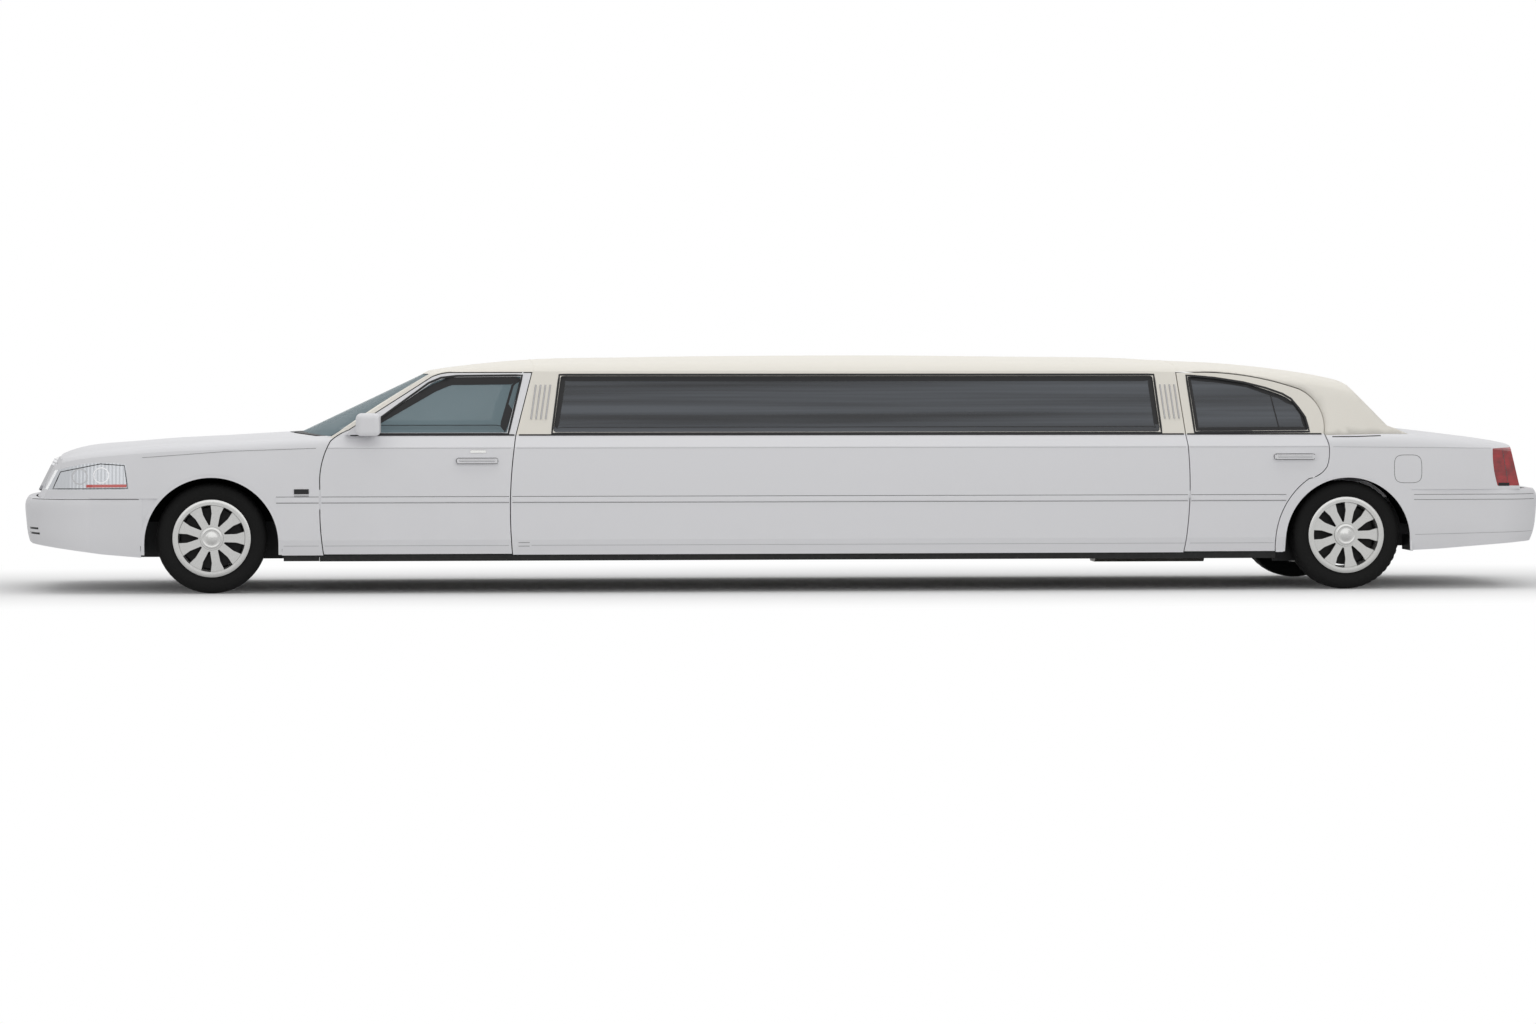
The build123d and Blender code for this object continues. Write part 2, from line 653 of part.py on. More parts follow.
# Flat recess for the rear plate, with two screw holes
PLATE_W = 314.0
PLATE_H = 160.0
PLATE_Z = 512.0
PLATE_DEPTH = 14.0
PLATE_PITCH = 178.0
PLATE_UP = 60.0
PLATE_HOLE_R = 3.2
with BuildPart() as rear_bumper:
    loft([bumper_outline(z, *REAR_BUMPER, back, slim, 0) for z, back, slim in REAR_LEVELS])
    with BuildPart(mode=Mode.SUBTRACT):
        loft([bumper_outline(z, *REAR_BUMPER, back, slim, BUMPER_T) for z, back, slim in REAR_LEVELS])
    add(rear_arch, mode=Mode.SUBTRACT)
    with BuildSketch(Plane.XZ.offset(-1100)):
        with BuildLine():
            Polyline(
                (TAIL_X + 100, 150),
                (TAIL_X + 100, 306),
                (RA + 1117, 294),
                (RA + 582, 253),
                (RA + 300, 240),
                (RA + 300, 150),
                close=True,
            )
        make_face()
    extrude(amount=2200, mode=Mode.SUBTRACT)
    with Locations((TAIL_X - PLATE_DEPTH + 50, 0, PLATE_Z)):
        Box(100, PLATE_W, PLATE_H, mode=Mode.SUBTRACT)
    for side in (-1, 1):
        with Locations(Pos(TAIL_X - 40, side * PLATE_PITCH / 2, PLATE_Z + PLATE_UP) * Rot(0, 90, 0)):
            Cylinder(PLATE_HOLE_R, 140, mode=Mode.SUBTRACT)
rear_bumper.part.label = "rear_bumper"
export_step(rear_bumper.part, "parts/rear_bumper.step")

# Front end shell: clip less its cavity, the hood and the nose rake
SEAM_X = FA - 770
with BuildPart() as front_shell:
    add(front_clip.part)
    add(Pos(220, SKIN, -SKIN) * front_clip.part, mode=Mode.SUBTRACT)
    add(nose_cut(0), mode=Mode.SUBTRACT)
    add(hood_space.part, mode=Mode.SUBTRACT)
    add(lamp_block.part, mode=Mode.SUBTRACT)
    add(front_arch, mode=Mode.SUBTRACT)
    with Locations((FA - 1000, 0, BUMPER_TOP - 400)):
        Box(2 * (1000 - 300), 2200, 800, mode=Mode.SUBTRACT)
    with Locations((FA, 600, 600)):
        Box(4000, 1200, 2000, mode=Mode.SUBTRACT)

with BuildPart() as fender_block:
    add(front_shell.part)
    add(hood_prism(0, 400), mode=Mode.SUBTRACT)
    add(prism(front_door_line), mode=Mode.SUBTRACT)
    with Locations((SEAM_X - 500, 0, 600)):
        Box(1000, 2400, 2000, mode=Mode.SUBTRACT)

APRON_Y = 488.0
with BuildPart() as front_fenders:
    add(fender_block.part.solids().sort_by(SortBy.VOLUME)[-1])
    with BuildSketch(Plane.XZ.offset(APRON_Y - 12)):
        with Locations((FA, ARCH_Z)):
            Circle(ARCH_FRONT_R + 14)
            Circle(ARCH_FRONT_R, mode=Mode.SUBTRACT)
        with Locations((FA, ARCH_Z - 200)):
            Rectangle(1200, 600, mode=Mode.SUBTRACT)
    extrude(amount=978 - APRON_Y + 12)
    with BuildSketch(Plane.XZ.offset(APRON_Y - 12)):
        with Locations((FA - 87, 640)):
            Rectangle(1366, 420)
        with Locations((FA, 460)):
            Rectangle(320, 100, mode=Mode.SUBTRACT)
    extrude(amount=12)
    add(front_bumper.part, mode=Mode.SUBTRACT)
    with Locations((FA + 659 + 2.5, -HINGE_Y, 580)):
        Cylinder(3.2, 120)
    with Locations(Pos(HOOD_AXIS[0], -776, HOOD_AXIS[1]) * Rot(90, 0, 0)):
        Cylinder(PIVOT_R, 60)
    mirror(about=Plane.XZ)
front_fenders.part.label = "front_fenders"
export_step(front_fenders.part, "parts/front_fenders.step")

with BuildPart() as nose_panel:
    add(front_shell.part)
    with Locations((SEAM_X + 1000, 0, 600)):
        Box(2000, 2400, 2000, mode=Mode.SUBTRACT)
    mirror(about=Plane.XZ)
    with BuildSketch(Plane.YZ.offset(FA - 1300)):
        with Locations((0, 750)):
            Rectangle(2 * GRILLE_HALF, 300)
    extrude(amount=800, mode=Mode.SUBTRACT)
nose_panel.part.label = "nose_panel"
export_step(nose_panel.part, "parts/nose_panel.step")

# Trunk lid: top deck and rear face between the lamps
LID_FRONT_X = RA + 376
LID_FOOT_Z = 690.0
LID_AXIS = (LID_FRONT_X - 26, 968)


def lid_prism(grow):
    """Plan outline of the trunk lid."""
    with BuildPart() as block:
        with BuildSketch(Plane.XY.offset(LID_FOOT_Z - grow)):
            with BuildLine():
                ThreePointArc((LID_FRONT_X - 66, 730), (LID_FRONT_X, 0), (LID_FRONT_X - 66, -730))
                Line((LID_FRONT_X - 66, -730), (RA + 1400, -610))
                Line((RA + 1400, -610), (RA + 1400, 610))
                Line((RA + 1400, 610), (LID_FRONT_X - 66, 730))
            make_face()
            if grow:
                offset(amount=grow, kind=Kind.ARC, mode=Mode.REPLACE)
        extrude(amount=600)
    return block.part


with BuildPart() as trunk_lid:
    add(rear_clip.part)
    add(lid_prism(-PANEL_GAP), mode=Mode.INTERSECT)
    add(tail_cut(0), mode=Mode.SUBTRACT)
    with BuildPart(mode=Mode.SUBTRACT):
        add(Pos(0, 0, -LID_T) * rear_clip.part)
        add(tail_cut(-40), mode=Mode.SUBTRACT)
    for side in (-1, 1):
        with Locations(Pos(LID_AXIS[0], side * 748, LID_AXIS[1]) * Rot(90, 0, 0)):
            Cylinder(PIVOT_R + SEAT_GAP, 102, mode=Mode.SUBTRACT)
trunk_lid.part.label = "trunk_lid"
export_step(trunk_lid.part, "parts/trunk_lid.step")

with BuildPart() as lid_space:
    add(rear_clip.part)
    add(lid_prism(0), mode=Mode.INTERSECT)
    with BuildPart(mode=Mode.SUBTRACT):
        add(Pos(0, 0, -LID_T - PANEL_GAP) * rear_clip.part)
        add(tail_cut(-40 - PANEL_GAP), mode=Mode.SUBTRACT)

# Tail lamps wrap round the rear corners
with BuildPart() as tail_block:
    with BuildSketch(Plane.XZ.offset(655)):
        with BuildLine():
            Line((RA + 952, 648), (RA + 1300, 644))
            Line((RA + 1300, 644), (RA + 1300, 900))
            Line((RA + 1300, 900), (RA + 925, 880))
            ThreePointArc((RA + 925, 880), (RA + 928, 760), (RA + 952, 648))
        make_face()
    extrude(amount=500)
    add(rear_clip.part, mode=Mode.INTERSECT)
    add(tail_cut(0), mode=Mode.SUBTRACT)
    with BuildPart(mode=Mode.SUBTRACT):
        add(Pos(0, 46, -30) * rear_clip.part)
        add(tail_cut(-80), mode=Mode.SUBTRACT)

with BuildPart() as tail_lamps:
    add(tail_block.part.solids().sort_by(SortBy.VOLUME)[-1])
    mirror(about=Plane.XZ)
tail_lamps.part.label = "tail_lamps"
export_step(tail_lamps.part, "parts/tail_lamps.step")

# Rear quarters with wheelhouses; the rear panel joins them under the lid
with BuildPart() as rear_shell:
    add(rear_clip.part)
    add(Pos(0, SKIN, -SKIN) * rear_clip.part, mode=Mode.SUBTRACT)
    with Locations((RA, 600, 600)):
        Box(6000, 1200, 2000, mode=Mode.SUBTRACT)
    add(prism(rear_door_line), mode=Mode.SUBTRACT)
    add(prism(stretch_line), mode=Mode.SUBTRACT)
    add(tail_cut(0), mode=Mode.SUBTRACT)
    add(lid_space.part, mode=Mode.SUBTRACT)
    add(tail_block.part, mode=Mode.SUBTRACT)
    add(rear_arch, mode=Mode.SUBTRACT)
    with Locations((RA + 400 + 700, 0, REAR_TOP - 400)):
        Box(1400, 2200, 800, mode=Mode.SUBTRACT)
    with BuildSketch(Plane.XY.offset(900)):
        with BuildLine():
            Polyline(
                (RA - 800, 0),
                (RA - 800, -800),
                (LID_FRONT_X - 66, -800),
                (LID_FRONT_X - 66, -730),
                (LID_FRONT_X + 2, 0),
                close=True,
            )
        make_face()
    extrude(amount=300, mode=Mode.SUBTRACT)

with BuildPart() as rear_quarters:
    add(rear_shell.part.solids().sort_by(SortBy.VOLUME)[-1])
    with BuildSketch(Plane.XZ.offset(690)):
        with Locations((RA, ARCH_Z)):
            Circle(ARCH_REAR_R + 14)
            Circle(ARCH_REAR_R, mode=Mode.SUBTRACT)
        with Locations((RA, ARCH_Z - 200)):
            Rectangle(1200, 600, mode=Mode.SUBTRACT)
    extrude(amount=978 - 690)
    add(rear_bumper.part, mode=Mode.SUBTRACT)
    add(prism(rear_door_line), mode=Mode.SUBTRACT)
    with Locations(Pos(LID_AXIS[0], -731, LID_AXIS[1]) * Rot(90, 0, 0)):
        Cylinder(PIVOT_R, 60)
    mirror(about=Plane.XZ)
    with BuildPart():
        add(rear_clip.part)
        add(tail_cut(0), mode=Mode.SUBTRACT)
        with Locations((RA + 900, 0, (REAR_TOP + LID_FOOT_Z) / 2)):
            Box(1000, 2200, LID_FOOT_Z - REAR_TOP, mode=Mode.INTERSECT)
        with BuildPart(mode=Mode.SUBTRACT):
            add(rear_clip.part)
            add(tail_cut(-40), mode=Mode.SUBTRACT)
        add(tail_lamps.part, mode=Mode.SUBTRACT)
rear_quarters.part.label = "rear_quarters"
export_step(rear_quarters.part, "parts/rear_quarters.step")

# Grille: bright surround and upright bars, standing in the nose panel
GRILLE_BARS = 27
grille_plane = Plane(origin=(FA - 1081, 0, 628), x_dir=(0, -1, 0), z_dir=(-400, 0, 202))
GRILLE_H = 218.0
with BuildPart() as grille:
    with BuildSketch(grille_plane):
        with Locations((0, GRILLE_H / 2)):
            RectangleRounded(2 * (GRILLE_HALF - SEAT_GAP), GRILLE_H, 40)
            RectangleRounded(2 * GRILLE_HALF - 50, GRILLE_H - 44, 20, mode=Mode.SUBTRACT)
    extrude(amount=-40)
    with BuildSketch(grille_plane.offset(-8)):
        with Locations((0, GRILLE_H / 2)):
            with GridLocations((2 * GRILLE_HALF - 50) / GRILLE_BARS, 0, GRILLE_BARS - 1, 1):
                Rectangle(9, GRILLE_H - 20)
    extrude(amount=-24)
grille.part.label = "grille"
export_step(grille.part, "parts/grille.step")

# Frame: kicked-up side rails
RAIL_Y = 425.0
RAIL_W = 90.0
FLOOR_Z = 300.0
CROSS_BARS = 7
with BuildPart() as frame:
    with BuildSketch(Plane.XZ.offset(RAIL_Y - RAIL_W / 2)):
        with BuildLine():
            Polyline(
                (NOSE_X + 130, 330),
                (FA + 400, 330),
                (FA + 640, 205),
                (RA - 620, 205),
                (RA - 330, 430),
                (TAIL_X - 110, 430),
                (TAIL_X - 110, 510),
                (RA - 380, 510),
                (RA - 640, FLOOR_Z),
                (FA + 660, FLOOR_Z),
                (FA + 440, 425),
                (NOSE_X + 130, 425),
                close=True,
            )
        make_face()
    extrude(amount=RAIL_W)
    mirror(about=Plane.XZ)
frame.part.label = "frame"
export_step(frame.part, "parts/frame.step")

# Black rockers under the doors
with BuildPart() as rockers:
    with BuildSketch(Plane.XY.offset(ROCKER_Z)):
        with BuildLine():
            Polyline(
                (FA + 660, -780),
                (FA + 660, -945),
                (RA - 455, -945),
                (RA - 455, -780),
                close=True,
            )
        make_face()
    extrude(amount=SILL_Z - ROCKER_Z)
    mirror(about=Plane.XZ)
rockers.part.label = "rockers"
export_step(rockers.part, "parts/rockers.step")

# Cross-members between and outside the rails
CROSS_PITCH = (WHEELBASE - 1560) / (CROSS_BARS - 1)
END_BARS = [
    # x, z
    (NOSE_X + 178, 378),
    (FA - 840, 378),
    (RA + 560, 470),
    (TAIL_X - 160, 470),
]
with BuildPart() as crossmembers:
    for k in range(CROSS_BARS):
        with Locations((FA + 760 + k * CROSS_PITCH, 0, (SILL_Z + FLOOR_Z) / 2)):
            Box(90, 2 * 866, FLOOR_Z - SILL_Z)
    for x, z in END_BARS:
        with Locations((x, 0, z)):
            Box(90, 2 * RAIL_Y, 60)
    add(frame.part, mode=Mode.SUBTRACT)
crossmembers.part.label = "crossmembers"
export_step(crossmembers.part, "parts/crossmembers.step")

# Floor: cabin pan, step over the rear axle and trunk floor
PAN_T = 18.0
with BuildPart() as floor_pan:
    with Locations(((FA + 620 + RA - 645) / 2, 0, FLOOR_Z + PAN_T / 2)):
        Box(RA - 645 - FA - 620, 2 * (DOOR_INNER - PANEL_GAP), PAN_T)
    with BuildSketch(Plane.XZ.offset(-676)):
        with BuildLine():
            Polyline(
                (RA - 650, FLOOR_Z),
                (RA - 640, FLOOR_Z),
                (RA - 380, 510),
                (TAIL_X - 150, 510),
                (TAIL_X - 150, 510 + PAN_T),
                (RA - 388, 510 + PAN_T),
                (RA - 648, FLOOR_Z + PAN_T),
                (RA - 650, FLOOR_Z + PAN_T),
                close=True,
            )
        make_face()
    extrude(amount=2 * 676)
    add(frame.part, mode=Mode.SUBTRACT)
floor_pan.part.label = "floor_pan"
export_step(floor_pan.part, "parts/floor_pan.step")

# Firewall under the cowl, and the cowl panel between hood and windshield
COWL_T = LID_T + PANEL_GAP + 2
with BuildPart() as firewall:
    with Locations((FA + 608, 0, 650)):
        Box(24, 2 * 620, 2 * (650 - FLOOR_Z))
    add(Pos(0, 0, -COWL_T) * front_clip.part, mode=Mode.INTERSECT)
    add(frame.part, mode=Mode.SUBTRACT)
firewall.part.label = "firewall"
export_step(firewall.part, "parts/firewall.step")

with BuildPart() as cowl:
    add(front_clip.part)
    add(Pos(0, 0, -COWL_T) * front_clip.part, mode=Mode.SUBTRACT)
    add(hood_prism(0, 150), mode=Mode.INTERSECT)
    add(hood_prism(HOOD_SWING_GAP, 0), mode=Mode.SUBTRACT)
cowl.part.label = "cowl"
export_step(cowl.part, "parts/cowl.step")

# Rear bulkhead and parcel shelf
with BuildPart() as rear_bulkhead:
    with BuildSketch(Plane.XZ.offset(-676)):
        with BuildLine():
            Polyline(
                (RA - 200, 510 + PAN_T),
                (RA - 176, 510 + PAN_T),
                (RA - 176, 896),
                (RA + 366, 896),
                (RA + 366, 914),
                (RA - 200, 914),
                close=True,
            )
        make_face()
    extrude(amount=2 * 676)
rear_bulkhead.part.label = "rear_bulkhead"
export_step(rear_bulkhead.part, "parts/rear_bulkhead.step")

# Wheels: nine-spoke rims and plain road tyres, built at the origin about Y, outer face to -Y
SPOKES = 9
RIM_R = 221.5
FLANGE_R = 238.0
BORE_R = 26.3
SPINDLE_R = 26.0
HUB_FACE = 78.0         # outer hub face ahead of the wheel's middle plane

with BuildPart() as rim_master:
    with BuildSketch(Plane.XY):
        with BuildLine():
            Polyline(
                (RIM_R, -96),
                (FLANGE_R, -96),
                (FLANGE_R, -104),
                (206, -104),
                (198, -70),
                (198, 96),
                (206, 104),
                (FLANGE_R, 104),
                (FLANGE_R, 96),
                (RIM_R, 96),
                close=True,
            )
        make_face()
    revolve(axis=Axis.Y)
    with BuildSketch(Plane.XZ.offset(HUB_FACE - 26)):
        Circle(82)
        with PolarLocations(0, SPOKES):
            Polygon((60, -23), (150, -26), (204, -42), (204, 42), (150, 26), (60, 23), align=None)
    extrude(amount=30)
    with BuildSketch(Plane.XZ.offset(HUB_FACE)):
        Circle(74)
    extrude(amount=16, taper=12)
    with BuildSketch(Plane.XZ.offset(-20)):
        Circle(62)
    extrude(amount=HUB_FACE + 20)
    with BuildSketch(Plane.XZ.offset(-60)):
        Circle(BORE_R)
    extrude(amount=100, mode=Mode.SUBTRACT)

with BuildPart() as tyre_master:
    with BuildSketch(Plane.XY):
        with BuildLine():
            Polyline(
                (RIM_R + SEAT_GAP, -95),
                (RIM_R + SEAT_GAP, 95),
                (FLANGE_R + 3, 95),
                (282, TYRE_W / 2),
                (TYRE_R - 20, 108),
                (TYRE_R, 84),
                (TYRE_R, -84),
                (TYRE_R - 20, -108),
                (282, -TYRE_W / 2),
                (FLANGE_R + 3, -95),
                close=True,
            )
        make_face()
    revolve(axis=Axis.Y)

left_rim = rim_master.part
right_rim = mirror(rim_master.part, about=Plane.XZ, mode=Mode.PRIVATE)
front_left_at = Pos(FA, -FRONT_TRACK / 2, AXLE_Z)
front_right_at = Pos(FA, FRONT_TRACK / 2, AXLE_Z)
rear_left_at = Pos(RA, -REAR_TRACK / 2, AXLE_Z)
rear_right_at = Pos(RA, REAR_TRACK / 2, AXLE_Z)

with BuildPart() as rim_front_left:
    add(front_left_at * left_rim)
rim_front_left.part.label = "rim_front_left"
export_step(rim_front_left.part, "parts/rim_front_left.step")

with BuildPart() as rim_front_right:
    add(front_right_at * right_rim)
rim_front_right.part.label = "rim_front_right"
export_step(rim_front_right.part, "parts/rim_front_right.step")

with BuildPart() as rim_rear_left:
    add(rear_left_at * left_rim)
rim_rear_left.part.label = "rim_rear_left"
export_step(rim_rear_left.part, "parts/rim_rear_left.step")

with BuildPart() as rim_rear_right:
    add(rear_right_at * right_rim)
rim_rear_right.part.label = "rim_rear_right"
export_step(rim_rear_right.part, "parts/rim_rear_right.step")

with BuildPart() as tyre_front_left:
    add(front_left_at * tyre_master.part)
tyre_front_left.part.label = "tyre_front_left"
export_step(tyre_front_left.part, "parts/tyre_front_left.step")

with BuildPart() as tyre_front_right:
    add(front_right_at * tyre_master.part)
tyre_front_right.part.label = "tyre_front_right"
export_step(tyre_front_right.part, "parts/tyre_front_right.step")

with BuildPart() as tyre_rear_left:
    add(rear_left_at * tyre_master.part)
tyre_rear_left.part.label = "tyre_rear_left"
export_step(tyre_rear_left.part, "parts/tyre_rear_left.step")

with BuildPart() as tyre_rear_right:
    add(rear_right_at * tyre_master.part)
tyre_rear_right.part.label = "tyre_rear_right"
export_step(tyre_rear_right.part, "parts/tyre_rear_right.step")

# Steering knuckles: upright, spindle and splash shield, turning on the arms' ball pins
KING_Y = FRONT_TRACK / 2 - 70
ARM_LOW = 230.0
ARM_HIGH = 452.0
PIN_R = 12.0
with BuildPart() as knuckle_left:
    with Locations((FA, -KING_Y, (ARM_LOW + ARM_HIGH) / 2)):
        Cylinder(23, ARM_HIGH - ARM_LOW - 1.0)
    with BuildSketch(Plane.XZ.offset(KING_Y)):
        with Locations((FA, AXLE_Z)):
            Circle(SPINDLE_R)
    extrude(amount=70 + 34)
    with BuildSketch(Plane.XZ.offset(KING_Y + 34)):
        with Locations((FA, AXLE_Z)):
            Circle(150)
    extrude(amount=6)
    with Locations((FA, -KING_Y, ARM_LOW + 16), (FA, -KING_Y, ARM_HIGH - 16)):
        Cylinder(PIN_R + SEAT_GAP, 33, mode=Mode.SUBTRACT)
knuckle_left.part.label = "knuckle_left"
export_step(knuckle_left.part, "parts/knuckle_left.step")

with BuildPart() as knuckle_right:
    mirror(knuckle_left.part, about=Plane.XZ)
knuckle_right.part.label = "knuckle_right"
export_step(knuckle_right.part, "parts/knuckle_right.step")

# Front suspension: cross-member, lower and upper arms with their ball pins
with BuildPart() as front_suspension:
    with Locations((FA, 0, 295)):
        Box(150, 2 * (RAIL_Y + RAIL_W / 2), 70)
    with BuildSketch(Plane.XY.offset(ARM_LOW - 26)):
        with BuildLine():
            Polyline(
                (FA - 130, -380),
                (FA - 22, -KING_Y),
                (FA + 22, -KING_Y),
                (FA + 130, -380),
                close=True,
            )
        make_face()
        with Locations((FA, -KING_Y)):
            Circle(24)
    extrude(amount=26)
    with Locations((FA, -400, 245)):
        Box(150, 60, 40)
    with BuildSketch(Plane.XY.offset(ARM_HIGH)):
        with BuildLine():
            Polyline(
                (FA - 90, -440),
                (FA - 20, -KING_Y),
                (FA + 20, -KING_Y),
                (FA + 90, -440),
                close=True,
            )
        make_face()
        with Locations((FA, -KING_Y)):
            Circle(24)
    extrude(amount=22)
    with Locations((FA, -450, 450)):
        Box(120, 40, 50)
    with Locations((FA, -KING_Y, ARM_LOW + 13), (FA, -KING_Y, ARM_HIGH - 13)):
        Cylinder(PIN_R, 30)
    mirror(about=Plane.XZ)
front_suspension.part.label = "front_suspension"
export_step(front_suspension.part, "parts/front_suspension.step")

# Rear axle: tube, differential, shields, trailing arms and air springs
with BuildPart() as rear_axle:
    with BuildSketch(Plane.XZ.offset(REAR_TRACK / 2 - 62)):
        with Locations((RA, AXLE_Z)):
            Circle(150)
    extrude(amount=8)
    with BuildSketch(Plane.XZ.offset(REAR_TRACK / 2 - 62)):
        with Locations((RA, AXLE_Z)):
            Circle(SPINDLE_R)
    extrude(amount=62 + 34)
    with Locations((RA, -RAIL_Y, 405)):
        Cylinder(40, 50)
    with BuildSketch(Plane.XZ.offset(RAIL_Y - 25)):
        with BuildLine():
            Polyline(
                (RA + 10, 305),
                (RA + 10, 345),
                (RA - 470, 205 + 150 * 225 / 290),
                (RA - 560, 205 + 60 * 225 / 290),
                (RA - 540, 236),
                close=True,
            )
        make_face()
    extrude(amount=50)
    mirror(about=Plane.XZ)
    with BuildSketch(Plane.XZ.offset(-REAR_TRACK / 2 + 60)):
        with Locations((RA, AXLE_Z)):
            Circle(42)
    extrude(amount=REAR_TRACK - 120)
    with Locations((RA, 0, AXLE_Z)):
        Sphere(135)
    with BuildSketch(Plane.YZ.offset(RA - 190)):
        with Locations((0, AXLE_Z)):
            Circle(55)
    extrude(amount=150)
rear_axle.part.label = "rear_axle"
export_step(rear_axle.part, "parts/rear_axle.step")

# Engine with gearbox, set on the front cross-member
with BuildPart() as engine:
    with Locations((FA + 130, 0, 455)):
        Box(720, 360, 250)
    with Locations((FA + 110, 0, 640)):
        Box(560, 560, 120)
    with Locations((FA + 110, 0, 740)):
        Box(420, 300, 80)
    with Locations((FA - 300, 0, 520)):
        Box(140, 420, 260)
engine.part.label = "engine"
export_step(engine.part, "parts/engine.step")

with BuildPart() as radiator:
    with Locations((FA - 840, 0, 570)):
        Box(70, 760, 324)
radiator.part.label = "radiator"
export_step(radiator.part, "parts/radiator.step")

# Drive shaft: two lengths under the floor, hung from the cross-members
SHAFT_Z = 208.0
SHAFT_JOINT_X = RA - 700    # behind the last cross-member
with BuildPart() as drive_shaft:
    with BuildSketch(Plane.YZ.offset(FA + 500)):
        with Locations((0, SHAFT_Z)):
            Circle(24)
    extrude(amount=SHAFT_JOINT_X - FA - 500)
    for k in (0, 2, 4, 6):
        with Locations((FA + 760 + k * CROSS_PITCH, 0, (SHAFT_Z + SILL_Z) / 2)):
            Box(60, 90, SILL_Z - SHAFT_Z)
    rear_length = Edge.make_line((SHAFT_JOINT_X, 0, SHAFT_Z), (RA - 202, 0, AXLE_Z - 16))
    with Locations(rear_length @ 0):
        Sphere(34)
    with BuildSketch(Plane(origin=rear_length @ 0, z_dir=rear_length % 0)):
        Circle(22)
    extrude(amount=rear_length.length - 0.5)
drive_shaft.part.label = "drive_shaft"
export_step(drive_shaft.part, "parts/drive_shaft.step")

# Exhaust: twin pipes and silencers under the cross-members
with BuildPart() as exhaust:
    with BuildSketch(Plane.YZ.offset(FA + 700)):
        with Locations((-250, SILL_Z - 26)):
            Circle(26)
    extrude(amount=RA - 600 - FA - 700)
    with BuildSketch(Plane.YZ.offset(RA - 1500)):
        with Locations((-250, SILL_Z - 42)):
            SlotOverall(240, 84)
    extrude(amount=700)
    mirror(about=Plane.XZ)
exhaust.part.label = "exhaust"
export_step(exhaust.part, "parts/exhaust.step")

# Dashboard with the steering column and wheel on the left
CABIN_Z = FLOOR_Z + PAN_T
with BuildPart() as dashboard:
    with BuildSketch(Plane.XZ.offset(-840)):
        with BuildLine():
            FilletPolyline(
                (FA + 620, 560),
                (FA + 820, 560),
                (FA + 960, 700),
                (FA + 960, 860),
                (FA + 910, 925),
                (FA + 800, 905),
                (FA + 620, 860),
                radius=12,
                close=True,
            )
        make_face()
    extrude(amount=2 * 840)
    column = Edge.make_line((FA + 900, -390, 760), (FA + 1130, -390, 860))
    with BuildSketch(Plane(origin=column @ 0, z_dir=column % 0)):
        Circle(32)
    extrude(amount=column.length)
    wheel_plane = Plane(origin=column @ 1, z_dir=column % 0)
    with BuildSketch(wheel_plane):
        Circle(60)
        Rectangle(340, 46)
    extrude(amount=22)
    grip = (wheel_plane * Pos(178, 0, 11)).position
    with BuildSketch(Plane(origin=grip, x_dir=wheel_plane.x_dir, z_dir=wheel_plane.y_dir)):
        Circle(15)
    revolve(axis=Axis(origin=column @ 1, direction=column % 0))
dashboard.part.label = "dashboard"
export_step(dashboard.part, "parts/dashboard.step")

# Front seats: cushion, back and headrest a side
with BuildPart() as front_seats:
    with BuildSketch(Plane.XZ.offset(130)):
        with BuildLine():
            FilletPolyline(
                (FA + 1240, CABIN_Z),
                (FA + 1240, 560),
                (FA + 1640, 530),
                (FA + 1750, 1010),
                (FA + 1880, 1010),
                (FA + 1790, CABIN_Z),
                radius=30,
                close=True,
            )
        make_face()
    extrude(amount=560)
    with BuildSketch(Plane.XZ.offset(280)):
        with BuildLine():
            FilletPolyline(
                (FA + 1755, 1000),
                (FA + 1790, 1190),
                (FA + 1880, 1190),
                (FA + 1865, 1000),
                radius=20,
                close=True,
            )
        make_face()
    extrude(amount=260)
    mirror(about=Plane.XZ)
front_seats.part.label = "front_seats"
export_step(front_seats.part, "parts/front_seats.step")

# Partition behind the driver
with BuildPart() as partition:
    with BuildSketch(Plane.YZ.offset(FA + 2010)):
        with BuildLine():
            Polyline(
                (-866, CABIN_Z),
                (-866, BELT_Z),
                (-700, 1320),
                (700, 1320),
                (866, BELT_Z),
                (866, CABIN_Z),
                close=True,
            )
        make_face()
    extrude(amount=40)
partition.part.label = "partition"
export_step(partition.part, "parts/partition.step")

# Lounge: rear bench, right-hand side bench and the bar on the left
with BuildPart() as lounge_seats:
    with BuildSketch(Plane.XZ.offset(-660)):
        with BuildLine():
            FilletPolyline(
                (RA - 760, CABIN_Z),
                (RA - 760, 700),
                (RA - 460, 670),
                (RA - 360, 1080),
                (RA - 230, 1080),
                (RA - 230, 532),
                (RA - 400, 532),
                (RA - 664, CABIN_Z),
                radius=25,
                close=True,
            )
        make_face()
    extrude(amount=2 * 660)
    with BuildSketch(Plane.YZ.offset(FA + 2250)):
        with BuildLine():
            FilletPolyline(
                (320, CABIN_Z),
                (320, 700),
                (680, 680),
                (740, 960),
                (862, 960),
                (862, CABIN_Z),
                radius=25,
                close=True,
            )
        make_face()
    extrude(amount=RA - 1000 - FA - 2250)
lounge_seats.part.label = "lounge_seats"
export_step(lounge_seats.part, "parts/lounge_seats.step")

with BuildPart() as bar_cabinet:
    with BuildSketch(Plane.YZ.offset(FA + 2250)):
        with BuildLine():
            Polyline(
                (-862, CABIN_Z),
                (-862, 860),
                (-560, 860),
                (-560, 700),
                (-500, 700),
                (-500, CABIN_Z),
                close=True,
            )
        make_face()
    extrude(amount=2400)
bar_cabinet.part.label = "bar_cabinet"
export_step(bar_cabinet.part, "parts/bar_cabinet.step")

